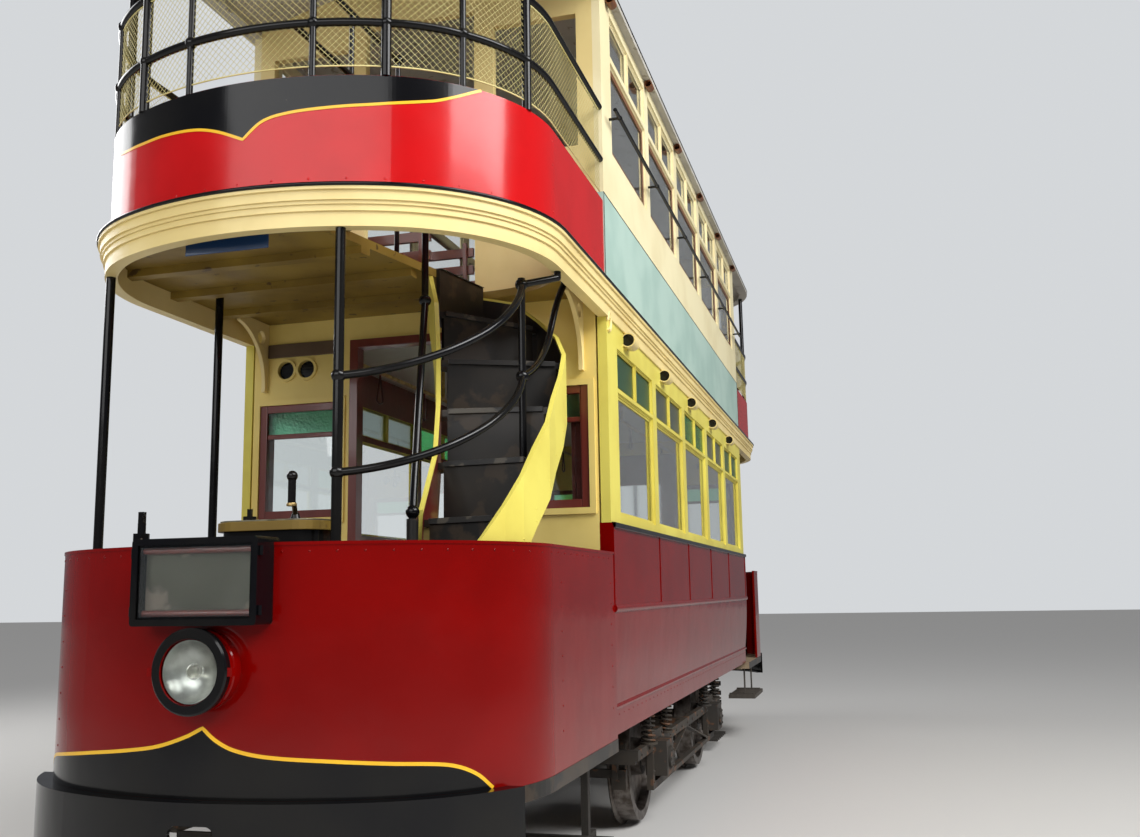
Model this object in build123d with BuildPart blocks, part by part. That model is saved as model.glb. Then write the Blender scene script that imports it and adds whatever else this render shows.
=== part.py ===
from build123d import *
from math import atan2, cos, pi, radians, sin, sqrt
import os

# Double-deck balcony tram on a four-wheel truck.
# +Z is up, the car lies along Y with its front at -Y, and z = 0 is at the flange tips.
# Both ends are alike: the rear one is the front one turned half round about Z.

# Wheels and axles
gauge = 1435
flange_depth = 25
tread_radius = 390
wheelbase = 2300
axle_radius = 60
journal_radius = 48
tyre_width = 104
flange_width = 28
axle_z = tread_radius + flange_depth
axle_y = wheelbase / 2

# Body sizes
body_width = 2130
sill_tuck = 30
saloon_length = 5770
sill_bottom_z = 749
sill_top_z = 885
rub_rail_z = 1355
waist_z = 1805
wall = 60
platform_z = 745
platform_floor_thickness = 60
saloon_floor_z = 900
floor_thickness = 40
deck_z = 3025
deck_thickness = 40
cantrail_z = 2875
bay_count = 5
end_bay_margin = 172.5
bay_pillar = 140
lower_window_bottom_z = 1865
lower_window_top_z = 2500
toplight_bottom_z = 2545
toplight_top_z = 2740
half_width = body_width / 2
end_y = -saloon_length / 2
bay_pitch = (saloon_length - 2 * end_bay_margin) / bay_count
lower_window_width = bay_pitch - bay_pillar

# End outlines in plan: reach past the saloon corner, corner radius and front radius
dash_reach = 1905
dash_corner_radius = 750
dash_front_radius = 1600
canopy_reach = 1780
canopy_corner_radius = 800
canopy_front_radius = 1450
dash_plan = (half_width, end_y - dash_reach, dash_corner_radius, dash_front_radius)
canopy_plan = (half_width, end_y - canopy_reach, canopy_corner_radius, canopy_front_radius)

# Dash, bumper and fittings at the front
dash_top_z = 1655
dash_thickness = 20
dash_bead = 6
dash_bead_height = 12
entrance_width = 800
bumper_depth = 60
bumper_bottom_z = 545
bumper_top_z = platform_z + 15
bumper_side_length = 465
bumper_end_y = end_y - dash_reach + bumper_side_length
bumper_thickness = 16
drawbar_pin_radius = 14
drawbar_pin_shift = 22
drawbar_slot_width = 180
drawbar_slot_height = 60
lamp_z = 1206
lamp_drum_radius = 143
lamp_bezel_radius = 150
lamp_glass_radius = 115
lamp_depth = 100
lamp_bezel_depth = 26
box_width = 510
box_height = 310
box_depth = 92
box_z = 1519

# Upper deck
upper_panel_top_z = 3555
upper_window_bottom_z = 3865
upper_window_top_z = 4385
upper_toplight_bottom_z = 4445
upper_toplight_top_z = 4670
gutter_z = 4790
upper_wall = 50
balcony_panel_top_z = 3505
balcony_mid_rail_z = 3735
balcony_top_rail_z = 4030
tube_radius = 17
roof_rise = 210
roof_thickness = 40
roof_overhang = 35
fascia_thickness = 55

journal_clearance = 0.1


def end_lines(plan, inset, back_y):
    """Draw one end's outline from the right side round the front to the left side."""
    half, front_y, corner_r, front_r = plan
    corner_x = half - corner_r
    front_cy = front_y + front_r
    corner_cy = front_cy - sqrt((front_r - corner_r) ** 2 - corner_x ** 2)
    join_angle = atan2(corner_cy - front_cy, corner_x)
    corner = corner_r - inset
    side = half - inset
    join_x = corner_x + corner * cos(join_angle)
    join_y = corner_cy + corner * sin(join_angle)
    middle_x = corner_x + corner * cos(join_angle / 2)
    middle_y = corner_cy + corner * sin(join_angle / 2)
    Line((side, back_y), (side, corner_cy))
    ThreePointArc((side, corner_cy), (middle_x, middle_y), (join_x, join_y))
    ThreePointArc((join_x, join_y), (0, front_y + inset), (-join_x, join_y))
    ThreePointArc((-join_x, join_y), (-middle_x, middle_y), (-side, corner_cy))
    Line((-side, corner_cy), (-side, back_y))


def end_face(plan, inset, back_y, mode=Mode.ADD):
    """Fill one end's outline in the sketch being drawn."""
    with BuildLine() as outline:
        end_lines(plan, inset, back_y)
        Line((-(plan[0] - inset), back_y), (plan[0] - inset, back_y))
    make_face(outline.edges(), mode=mode)


ball_arc = 75


def box_at(x_low, x_high, y_low, y_high, z_low, z_high, mode=Mode.ADD):
    """Add a box given by its lowest and highest corners."""
    middle = ((x_low + x_high) / 2, (y_low + y_high) / 2, (z_low + z_high) / 2)
    with Locations(middle):
        Box(x_high - x_low, y_high - y_low, z_high - z_low, mode=mode)


def tube_between(start, end, radius, mode=Mode.ADD):
    """Add a round bar from one point to another."""
    run = Vector(*end) - Vector(*start)
    with BuildSketch(Plane(origin=start, z_dir=run)) as section:
        Circle(radius)
    extrude(section.sketch, amount=run.length, mode=mode)


pieces = {}


def keep(name, part):
    pieces[name] = part


def keep_both_ends(name, part):
    """Keep the front piece and the same piece turned to the rear end."""
    pieces[name + "_front"] = part
    pieces[name + "_rear"] = part.rotate(Axis.Z, 180)


def keep_pair(name, part):
    """Keep the front piece and its turned twin as one node of two solids."""
    with BuildPart() as pair:
        add(part)
        add(part.rotate(Axis.Z, 180))
    pieces[name] = pair.part


def across(share):
    """A distance from the middle of the car, as a share of its half width."""
    return share * half_width


def along(share):
    """A place past the saloon's front end, as a share of the canopy's reach."""
    return end_y - share * canopy_reach


def round_bar(path_points, radius):
    """Add a round bar that runs smoothly through its points."""
    with BuildLine() as run:
        Spline(*path_points)
    wire = run.wires()[0]
    with BuildSketch(Plane(origin=wire @ 0, z_dir=wire % 0)) as section:
        Circle(radius)
    sweep(section.sketch, path=wire)


def balls(places, radius):
    """Add a ball joint, slightly flat at its top and bottom, at each place."""
    with Locations(*places):
        Sphere(radius, arc_size1=-ball_arc, arc_size2=ball_arc)


# Underframe: solebars, cross bearers and the dropped bearers that carry the platforms
solebar_thickness = 125
side_thickness = 70
bearer_width = 70
bearer_shifts = (-630, 510, 1100)
platform_bearer_x = 330
platform_bearer_width = 80
platform_bearer_depth = 90
platform_bearer_root = axle_y + 475
platform_bearer_short = 120
side_inner_x = half_width - side_thickness
solebar_inner_x = side_inner_x - solebar_thickness
floor_under_z = saloon_floor_z - floor_thickness
platform_under_z = platform_z - platform_floor_thickness
bulkhead_inner_y = end_y + wall
dash_front_y = dash_plan[1]

with BuildPart() as underframe:
    for side in (-1, 1):
        outer, inner = side * side_inner_x, side * solebar_inner_x
        box_at(min(outer, inner), max(outer, inner), bulkhead_inner_y, -bulkhead_inner_y,
               sill_bottom_z, floor_under_z)
    for place in (0, *[end * (axle_y + shift) for end in (-1, 1) for shift in bearer_shifts]):
        box_at(-solebar_inner_x, solebar_inner_x, place - bearer_width / 2, place + bearer_width / 2,
               sill_bottom_z, floor_under_z)
    for end in (-1, 1):
        for side in (-1, 1):
            x = side * platform_bearer_x
            x_low, x_high = x - platform_bearer_width / 2, x + platform_bearer_width / 2
            y_root, y_step = end * platform_bearer_root, -end * bulkhead_inner_y
            y_tip = -end * (dash_front_y + platform_bearer_short)
            box_at(x_low, x_high, min(y_root, y_step), max(y_root, y_step),
                   platform_under_z - platform_bearer_depth, sill_bottom_z)
            box_at(x_low, x_high, min(y_step, y_tip), max(y_step, y_tip),
                   platform_under_z - platform_bearer_depth, platform_under_z)
keep("underframe", underframe.part)

with BuildPart() as saloon_floor:
    box_at(-side_inner_x, side_inner_x, bulkhead_inner_y, -bulkhead_inner_y, floor_under_z, saloon_floor_z)
keep("saloon_floor", saloon_floor.part)

with BuildPart() as platform_floor:
    with BuildSketch(Plane.XY.offset(platform_under_z)):
        end_face(dash_plan, 0, end_y)
    extrude(amount=platform_floor_thickness)
    box_at(-side_inner_x, side_inner_x, end_y, bulkhead_inner_y, platform_under_z, platform_z)
keep_both_ends("platform_floor", platform_floor.part)

# Bumper: a bent channel round the platform, with a slot and a pin hole for a drawbar
bumper_height = bumper_top_z - bumper_bottom_z
bumper_middle_z = (bumper_bottom_z + bumper_top_z) / 2
with BuildPart() as bumper:
    with BuildSketch(Plane.XY.offset(bumper_bottom_z)):
        end_face(dash_plan, -bumper_depth, end_y)
        end_face(dash_plan, bumper_thickness - bumper_depth, end_y, mode=Mode.SUBTRACT)
    extrude(amount=bumper_height)
    for shelf_z in (bumper_bottom_z, bumper_top_z - bumper_thickness):
        with BuildSketch(Plane.XY.offset(shelf_z)):
            end_face(dash_plan, bumper_thickness - bumper_depth, end_y)
            end_face(dash_plan, 0, end_y, mode=Mode.SUBTRACT)
        extrude(amount=bumper_thickness)
    box_at(-body_width, body_width, bumper_end_y, end_y + 1, 0, deck_z, mode=Mode.SUBTRACT)
    with BuildSketch(Plane.XY.offset(bumper_bottom_z)):
        with Locations((0, dash_front_y - drawbar_pin_shift)):
            Circle(drawbar_pin_radius)
    extrude(amount=bumper_height, mode=Mode.SUBTRACT)
    with BuildSketch(Plane.XZ.offset(-dash_front_y)):
        with Locations((0, bumper_middle_z)):
            SlotOverall(drawbar_slot_width, drawbar_slot_height)
    extrude(amount=2 * bumper_depth, mode=Mode.SUBTRACT)
keep_pair("bumpers", bumper.part)

# Dash: a curved sheet with a half-round bead on its top edge, open at the entrance
entrance_y = end_y - entrance_width
with BuildPart() as dash:
    with BuildSketch(Plane.XY.offset(platform_z)):
        end_face(dash_plan, 0, end_y)
        end_face(dash_plan, dash_thickness, end_y, mode=Mode.SUBTRACT)
    extrude(amount=dash_top_z - platform_z - dash_bead_height)
    with BuildSketch(Plane.XY.offset(dash_top_z - dash_bead_height)):
        end_face(dash_plan, -dash_bead / 2, end_y)
        end_face(dash_plan, dash_thickness + dash_bead / 2, end_y, mode=Mode.SUBTRACT)
    extrude(amount=dash_bead_height)
    box_at(-body_width, 0, entrance_y, end_y, 0, deck_z, mode=Mode.SUBTRACT)
keep_both_ends("dash", dash.part)

fitting_seat = 60


def cut_dash():
    """Trim a fitting that hangs on the dash back to the dash's outer face and its bead."""
    with BuildSketch(Plane.XY.offset(platform_z)) as sheet:
        end_face(dash_plan, 0, end_y)
    extrude(sheet.sketch, amount=dash_top_z - platform_z, mode=Mode.SUBTRACT)
    with BuildSketch(Plane.XY.offset(dash_top_z - dash_bead_height)) as bead:
        end_face(dash_plan, -dash_bead / 2, end_y)
    extrude(bead.sketch, amount=dash_bead_height, mode=Mode.SUBTRACT)


# Headlamp: a turned drum with a hooked bezel and a hollow reflector, and its lens on a step in the bezel
# Its outline is drawn with the depth out from the dash along x and the radius along y
lamp_axis = Axis((0, dash_front_y, lamp_z), (0, -1, 0))
lamp_plane = Plane(origin=(0, dash_front_y, lamp_z), x_dir=(0, -1, 0), z_dir=(1, 0, 0))
lamp_ridge = 4
lamp_ridge_depths = (24, 30, 36, 42)
lens_seat = 12
lens_step = 5
lens_edge = 4
reflector_depth = 78
reflector_radius = 30
catch_reach = 20
catch_height = 30
bezel_back = lamp_depth - lamp_bezel_depth
bezel_round = 6
with BuildPart() as headlamp:
    with BuildSketch(lamp_plane):
        with BuildLine():
            Polyline((-fitting_seat, 0), (-fitting_seat, lamp_drum_radius),
                     (lamp_ridge_depths[0], lamp_drum_radius),
                     (lamp_ridge_depths[1], lamp_drum_radius + lamp_ridge),
                     (lamp_ridge_depths[2], lamp_drum_radius + lamp_ridge),
                     (lamp_ridge_depths[3], lamp_drum_radius),
                     (bezel_back, lamp_drum_radius), (bezel_back, lamp_bezel_radius),
                     (lamp_depth - bezel_round, lamp_bezel_radius),
                     (lamp_depth, lamp_bezel_radius - bezel_round),
                     (lamp_depth, lamp_glass_radius), (lamp_depth - lens_seat, lamp_glass_radius),
                     (lamp_depth - lens_seat, lamp_glass_radius - lens_step))
            ThreePointArc((lamp_depth - lens_seat, lamp_glass_radius - lens_step),
                          (lamp_depth - reflector_depth * 0.75, lamp_glass_radius * 0.68),
                          (lamp_depth - reflector_depth, reflector_radius))
            Polyline((lamp_depth - reflector_depth, reflector_radius), (lamp_depth - reflector_depth, 0),
                     (-fitting_seat, 0))
        make_face()
    revolve(axis=lamp_axis)
    for side in (-1, 1):
        x_low, x_high = sorted((side * (lamp_bezel_radius - lamp_ridge),
                                side * (lamp_bezel_radius + catch_reach)))
        box_at(x_low, x_high, dash_front_y - lamp_depth + bezel_round, dash_front_y - bezel_back,
               lamp_z - catch_height / 2, lamp_z + catch_height / 2)
    cut_dash()
keep_pair("headlamps", headlamp.part)

# Indicator box: a flat case on the dash, with a stepped opening in front for its glass
box_corner = 14
box_rim = 24
box_glass_seat = 10
box_glass_step = 8
box_recess = 55
hinge_radius = 9
hinge_length = 34
box_plane = Plane(origin=(0, dash_front_y, box_z), x_dir=(1, 0, 0), z_dir=(0, -1, 0))
with BuildPart() as indicator_box:
    with BuildSketch(box_plane.offset(-fitting_seat)):
        RectangleRounded(box_width, box_height, box_corner)
    extrude(amount=box_depth + fitting_seat)
    with BuildSketch(box_plane.offset(box_depth)):
        Rectangle(box_width - 2 * box_rim, box_height - 2 * box_rim)
    extrude(amount=-box_glass_seat, mode=Mode.SUBTRACT)
    with BuildSketch(box_plane.offset(box_depth)):
        Rectangle(box_width - 2 * (box_rim + box_glass_step), box_height - 2 * (box_rim + box_glass_step))
    extrude(amount=-box_recess, mode=Mode.SUBTRACT)
    for side in (-1, 1):
        for height in (-1, 1):
            z = box_z + height * box_height / 3
            x = side * (box_width / 2 + hinge_radius / 2)
            tube_between((x, dash_front_y - box_depth + 2 * hinge_radius, z - hinge_length / 2),
                         (x, dash_front_y - box_depth + 2 * hinge_radius, z + hinge_length / 2), hinge_radius)
    cut_dash()
keep_pair("indicator_boxes", indicator_box.part)

# The lamp's lens and the box's pane, each lying on the step that holds it
pane_thickness = 4
glass_clearance = 0.5
lens_radius = lamp_glass_radius - glass_clearance
with BuildPart() as front_glass:
    with BuildSketch(lamp_plane):
        with BuildLine():
            Polyline((lamp_depth - lens_seat, 0), (lamp_depth - lens_seat, lens_radius),
                     (lamp_depth - lens_seat + lens_edge, lens_radius), (lamp_depth - 5, lens_radius * 0.8),
                     (lamp_depth - 2.5, lens_radius * 0.5), (lamp_depth - 1, lens_radius * 0.2),
                     (lamp_depth - 1, 0), (lamp_depth - lens_seat, 0))
        make_face()
    revolve(axis=lamp_axis)
    with BuildSketch(box_plane.offset(box_depth - box_glass_seat)):
        Rectangle(box_width - 2 * (box_rim + glass_clearance), box_height - 2 * (box_rim + glass_clearance))
    extrude(amount=pane_thickness)
keep_pair("front_glass", front_glass.part)

# Controller: an upright case with a rimmed cap, a power handle and a square reversing spindle
controller_x = 95
controller_y = dash_front_y + 335
controller_width = 420
controller_depth = 240
controller_corner = 80
controller_top_z = 1745
controller_lip = 18
cap_thickness = 34
plinth_height = 60
band_z = 1450
band_height = 30
handle_shift = 65
handle_boss_radius = 26
handle_boss_height = 40
handle_length = 110
handle_rise = 45
grip_height = 100
grip_radius = 15
spindle_shift = -135
spindle_height = 60
spindle_side = 16
with BuildPart() as controller:
    with BuildSketch(Plane.XY.offset(platform_z)):
        with Locations((controller_x, controller_y)):
            RectangleRounded(controller_width, controller_depth, controller_corner)
    extrude(amount=controller_top_z - platform_z)
    for low_z, height in ((platform_z, plinth_height), (band_z, band_height),
                          (controller_top_z - cap_thickness, cap_thickness)):
        with BuildSketch(Plane.XY.offset(low_z)):
            with Locations((controller_x, controller_y)):
                RectangleRounded(controller_width + 2 * controller_lip, controller_depth + 2 * controller_lip,
                                 controller_corner + controller_lip)
        extrude(amount=height)
    handle_x = controller_x + handle_shift
    with Locations((handle_x, controller_y, controller_top_z + handle_boss_height / 2)):
        Cone(handle_boss_radius, handle_boss_radius / 2, handle_boss_height)
    grip_y = controller_y - handle_length
    arm_z = controller_top_z + handle_boss_height - grip_radius
    round_bar(((handle_x, controller_y, arm_z), (handle_x + handle_rise / 2, controller_y - handle_length / 2,
                                                 arm_z + handle_rise),
               (handle_x + handle_rise, grip_y, arm_z + handle_rise)), grip_radius - 5)
    tube_between((handle_x + handle_rise, grip_y, arm_z + handle_rise - grip_radius),
                 (handle_x + handle_rise, grip_y, arm_z + handle_rise + grip_height), grip_radius)
    balls([(handle_x + handle_rise, grip_y, arm_z + handle_rise + grip_height)], grip_radius + 6)
    with Locations((controller_x + spindle_shift, controller_y, controller_top_z + spindle_height / 4)):
        Cylinder(handle_boss_radius, spindle_height / 2)
    with Locations((controller_x + spindle_shift, controller_y, controller_top_z + spindle_height / 2)):
        Box(spindle_side, spindle_side, spindle_height)
keep_pair("controllers", controller.part)

# Handbrake: a spindle on a turned column, with a nut and a square top for its handle
brake_x = -500
brake_y = dash_front_y + 290
brake_foot_radius = 65
brake_foot_height = 16
brake_column_radii = (34, 22)
brake_column_top_z = 1640
brake_spindle_radius = 16
brake_nut_z = 1690
brake_nut_radius = 34
brake_nut_height = 30
brake_square_side = 22
brake_square_height = 45
brake_top_z = 1807
brake_axis = Axis((brake_x, brake_y, platform_z), (0, 0, 1))
with BuildPart() as handbrake:
    with BuildSketch(Plane(origin=(brake_x, brake_y, 0), x_dir=(1, 0, 0), z_dir=(0, -1, 0))):
        with BuildLine():
            Polyline((0, platform_z), (brake_foot_radius, platform_z),
                     (brake_foot_radius, platform_z + brake_foot_height),
                     (brake_column_radii[0], platform_z + 3 * brake_foot_height),
                     (brake_column_radii[1], brake_column_top_z),
                     (brake_spindle_radius, brake_column_top_z + brake_spindle_radius),
                     (brake_spindle_radius, brake_top_z - brake_square_height),
                     (0, brake_top_z - brake_square_height), (0, platform_z))
        make_face()
    revolve(axis=brake_axis)
    with BuildSketch(Plane.XY.offset(brake_nut_z)):
        with Locations((brake_x, brake_y)):
            RegularPolygon(brake_nut_radius, 6)
    extrude(amount=brake_nut_height)
    with Locations((brake_x, brake_y, brake_top_z - brake_square_height / 2)):
        Box(brake_square_side, brake_square_side, brake_square_height)
keep_pair("handbrakes", handbrake.part)

# Lower side panels: rocker below, rubbing rail, waist panel, waist bead and strips over the joints
rail_proud = 14
rail_height = 40
bead_proud = 12
bead_height = 24
sill_bead_proud = 10
sill_bead_half = 14
sill_x = half_width - sill_tuck
strip_width = 36
strip_proud = 4
with BuildPart() as side_panel:
    with BuildSketch(Plane.XZ):
        with BuildLine():
            Polyline((side_inner_x, waist_z), (side_inner_x, sill_bottom_z), (sill_x, sill_bottom_z),
                     (sill_x, sill_top_z - sill_bead_half))
            ThreePointArc((sill_x, sill_top_z - sill_bead_half), (sill_x + sill_bead_proud, sill_top_z),
                          (sill_x, sill_top_z + sill_bead_half))
            ThreePointArc((sill_x, sill_top_z + sill_bead_half),
                          (half_width - sill_tuck / 3, (sill_top_z + rub_rail_z) / 2), (half_width, rub_rail_z))
            ThreePointArc((half_width, rub_rail_z), (half_width + rail_proud, rub_rail_z + rail_height / 2),
                          (half_width, rub_rail_z + rail_height))
            Polyline((half_width, rub_rail_z + rail_height), (half_width, waist_z - bead_height),
                     (half_width + bead_proud, waist_z - bead_height), (half_width + bead_proud, waist_z),
                     (side_inner_x, waist_z))
        make_face()
    extrude(amount=saloon_length / 2, both=True)
    strip_places = [(bay - (bay_count - 2) / 2) * bay_pitch for bay in range(bay_count - 1)]
    strip_places += [end_y + strip_width / 2, -end_y - strip_width / 2]
    for place in strip_places:
        box_at(half_width - sill_tuck, half_width + strip_proud, place - strip_width / 2,
               place + strip_width / 2, rub_rail_z + rail_height, waist_z - bead_height)
keep("side_panel_right", side_panel.part)
keep("side_panel_left", side_panel.part.mirror(Plane.YZ))

# Window frames: five bays, each with one large window and two toplights, rebated from the outside
frame_outer_x = half_width - 10
frame_inner_x = half_width - 60
toplight_gap = 30
rebate = 12
bay_places = [(bay - (bay_count - 1) / 2) * bay_pitch for bay in range(bay_count)]
toplight_width = (lower_window_width - toplight_gap) / 2
toplight_shift = (toplight_width + toplight_gap) / 2


def bay_openings(bottom, top, light_bottom, light_top, grow=0, mode=Mode.SUBTRACT):
    """Windows and toplights of every bay, in a sketch whose axes are Y and Z."""
    with Locations(*[(place, (bottom + top) / 2) for place in bay_places]):
        Rectangle(lower_window_width + 2 * grow, top - bottom + 2 * grow, mode=mode)
    for shift in (-toplight_shift, toplight_shift):
        with Locations(*[(place + shift, (light_bottom + light_top) / 2) for place in bay_places]):
            Rectangle(toplight_width + 2 * grow, light_top - light_bottom + 2 * grow, mode=mode)


with BuildPart() as window_frame:
    with BuildSketch(Plane.YZ.offset(frame_inner_x)):
        with Locations((0, (waist_z + cantrail_z) / 2)):
            Rectangle(saloon_length, cantrail_z - waist_z)
        bay_openings(lower_window_bottom_z, lower_window_top_z, toplight_bottom_z, toplight_top_z)
    extrude(amount=frame_outer_x - frame_inner_x)
    with BuildSketch(Plane.YZ.offset(frame_outer_x)):
        bay_openings(lower_window_bottom_z, lower_window_top_z, toplight_bottom_z, toplight_top_z,
                     grow=rebate, mode=Mode.ADD)
    extrude(amount=-rebate, mode=Mode.SUBTRACT)
keep("window_frame_right", window_frame.part)
keep("window_frame_left", window_frame.part.mirror(Plane.YZ))

glass_thickness = 6
with BuildPart() as lower_glass:
    for side in (-1, 1):
        with BuildSketch(Plane.YZ.offset(side * (frame_inner_x + frame_outer_x - rebate) / 2)):
            bay_openings(lower_window_bottom_z, lower_window_top_z, toplight_bottom_z, toplight_top_z,
                         mode=Mode.ADD)
        extrude(amount=glass_thickness)
keep("lower_glass", lower_glass.part)

# Lower bulkheads: doorway in the middle, a framed window each side and two round vents
door_width = 720
door_top_z = 2815
door_leaf_width = 760
door_leaf_top_z = door_top_z + 30
runner_depth = 50
runner_height = 55
runner_gap = 5
bulkhead_window_inner_x = 460
bulkhead_window_outer_x = 950
bulkhead_window_bottom_z = 1885
bulkhead_window_top_z = 2520
vent_radius = 50
vent_z = 2715
vent_places = (-795, -669)
trim_proud = 12
door_trim = 50
window_trim = 32
vent_trim = 14
deck_under_z = deck_z - deck_thickness
front_bulkhead_plane = Plane.XZ.offset(-end_y)
window_x = (bulkhead_window_inner_x + bulkhead_window_outer_x) / 2
window_z = (bulkhead_window_bottom_z + bulkhead_window_top_z) / 2
bulkhead_window_width = bulkhead_window_outer_x - bulkhead_window_inner_x
bulkhead_window_height = bulkhead_window_top_z - bulkhead_window_bottom_z


def bulkhead_holes(grow, mode):
    """Doorway, windows and vents of a lower bulkhead, grown by the width of their trims."""
    door_grow, window_grow, vent_grow = grow
    with Locations((0, (saloon_floor_z + door_top_z + door_grow) / 2)):
        Rectangle(door_width + 2 * door_grow, door_top_z + door_grow - saloon_floor_z, mode=mode)
    with Locations((-window_x, window_z), (window_x, window_z)):
        Rectangle(bulkhead_window_width + 2 * window_grow, bulkhead_window_height + 2 * window_grow, mode=mode)
    with Locations(*[(place, vent_z) for place in vent_places]):
        Circle(vent_radius + vent_grow, mode=mode)


with BuildPart() as lower_bulkhead:
    with BuildSketch(front_bulkhead_plane):
        with Locations((0, (platform_z + deck_under_z) / 2)):
            Rectangle(2 * side_inner_x, deck_under_z - platform_z)
        bulkhead_holes((0, 0, 0), Mode.SUBTRACT)
    extrude(amount=-wall)
    with BuildSketch(front_bulkhead_plane):
        bulkhead_holes((door_trim, window_trim, vent_trim), Mode.ADD)
        bulkhead_holes((0, 0, 0), Mode.SUBTRACT)
    extrude(amount=trim_proud)
    box_at(-door_leaf_width / 2 - 20, side_inner_x, bulkhead_inner_y, bulkhead_inner_y + runner_depth,
           door_leaf_top_z + runner_gap, door_leaf_top_z + runner_gap + runner_height)
keep_both_ends("lower_bulkhead", lower_bulkhead.part)

# Sliding saloon doors behind the bulkheads: the front one stands open, the rear one is shut
door_thickness = 36
door_gap = 8
door_running_gap = 0.5
door_travel = 600
door_window_width = 520
door_window_bottom_z = 1750
door_window_top_z = 2560
door_panel_bottom_z = 1010
door_panel_top_z = 1640
door_panel_recess = 8
door_face_y = bulkhead_inner_y + door_gap
with BuildPart() as door:
    with BuildSketch(Plane.XZ.offset(-door_face_y)):
        with Locations((0, (saloon_floor_z + door_running_gap + door_leaf_top_z) / 2)):
            Rectangle(door_leaf_width, door_leaf_top_z - saloon_floor_z - door_running_gap)
        with Locations((0, (door_window_bottom_z + door_window_top_z) / 2)):
            Rectangle(door_window_width, door_window_top_z - door_window_bottom_z, mode=Mode.SUBTRACT)
    extrude(amount=-door_thickness)
    for face_y, inwards in ((door_face_y, 1), (door_face_y + door_thickness, -1)):
        y_low, y_high = sorted((face_y, face_y + inwards * door_panel_recess))
        box_at(-door_window_width / 2, door_window_width / 2, y_low, y_high, door_panel_bottom_z,
               door_panel_top_z, mode=Mode.SUBTRACT)
keep("saloon_door_front", door.part.moved(Location((door_travel, 0, 0))))
keep("saloon_door_rear", door.part.rotate(Axis.Z, 180))

# Stairs: one row for each riser, from the platform up to the deck
# columns: inner point across and along, outer point across and along, radius of the outer curve to the
# next row; across and radius are shares of the half width, along is a share of the canopy's reach
nosing_shares = (
    (0.526, 0.767, 0.437, 0.990, 0.751),
    (0.537, 0.761, 0.620, 0.945, 0.639),
    (0.545, 0.747, 0.765, 0.874, 0.639),
    (0.544, 0.725, 0.882, 0.767, 0.639),
    (0.526, 0.615, 0.933, 0.637, 0.639),
    (0.486, 0.535, 0.934, 0.478, 1.127),
    (0.441, 0.469, 0.913, 0.325, 0.540),
    (0.400, 0.424, 0.714, 0.155, 0.540),
    (0.323, 0.352, 0.408, 0.093, 0.540),
)
nosings = [(across(row[0]), along(row[1]), across(row[2]), along(row[3]), across(row[4]))
           for row in nosing_shares]
rise_count = len(nosings)
rise = (deck_z - platform_z) / rise_count
tread_thickness = 30
riser_thickness = 20
riser_trim = 30
string_thickness = 20
string_above = 40
string_below = 290
newel_radius = 24
newel_steps = 4


def bulge(start, end, radius):
    """Middle point of the arc that bows outwards, to the right of the run from start to end."""
    run = Vector(*end) - Vector(*start)
    middle = (Vector(*start) + Vector(*end)) / 2
    sagitta = radius - sqrt(radius ** 2 - run.length ** 2 / 4)
    outward = Vector(run.Y, -run.X).normalized()
    return middle + outward * sagitta


def polygon(points):
    """Fill a closed outline of plan points in the sketch being drawn."""
    with BuildLine() as outline:
        Polyline(*points, close=True)
    make_face(outline.edges())


with BuildPart() as stair_treads:
    for step, row in enumerate(nosings[:-1]):
        after = nosings[step + 1]
        start, end = Vector(row[2], row[3]), Vector(after[2], after[3])
        middle = bulge((row[2], row[3]), (after[2], after[3]), row[4])
        top_z = platform_z + (step + 1) * rise
        with BuildSketch(Plane.XY.offset(top_z - tread_thickness)):
            polygon([(row[0], row[1]), (start.X, start.Y), (middle.X, middle.Y), (end.X, end.Y),
                     (after[0], after[1])])
        extrude(amount=tread_thickness)
    for step, row in enumerate(nosings):
        inner, outer = Vector(row[0], row[1]), Vector(row[2], row[3])
        run = (outer - inner).normalized()
        inwards = Vector(-run.Y, run.X)
        if step == rise_count - 1:
            inwards = inwards * -1
        low_z = platform_z + step * rise - (tread_thickness if step else 0)
        high_z = platform_z + (step + 1) * rise
        corners = [inner + run * riser_trim, outer - run * riser_trim,
                   outer - run * riser_trim + inwards * riser_thickness,
                   inner + run * riser_trim + inwards * riser_thickness]
        with BuildSketch(Plane.XY.offset(low_z)):
            polygon([(corner.X, corner.Y) for corner in corners])
        extrude(amount=high_z - low_z)
    with BuildSketch(Plane.XY.offset(platform_z)):
        with Locations((nosings[0][0], nosings[1][1])):
            Circle(newel_radius)
    extrude(amount=newel_steps * rise)
keep_both_ends("stair_treads", stair_treads.part)


def string_stations(rows, side):
    """Plan points and nosing heights along one string, with a middle point on each curved run."""
    stations = []
    for step, row in rows:
        point = (row[0], row[1]) if side == "inner" else (row[2], row[3])
        stations.append((Vector(*point), platform_z + (step + 1) * rise))
        if side == "outer" and step < rise_count - 1:
            after = nosings[step + 1]
            stations.append((bulge(point, (after[2], after[3]), row[4]),
                             platform_z + (step + 1.5) * rise))
    return stations


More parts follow.
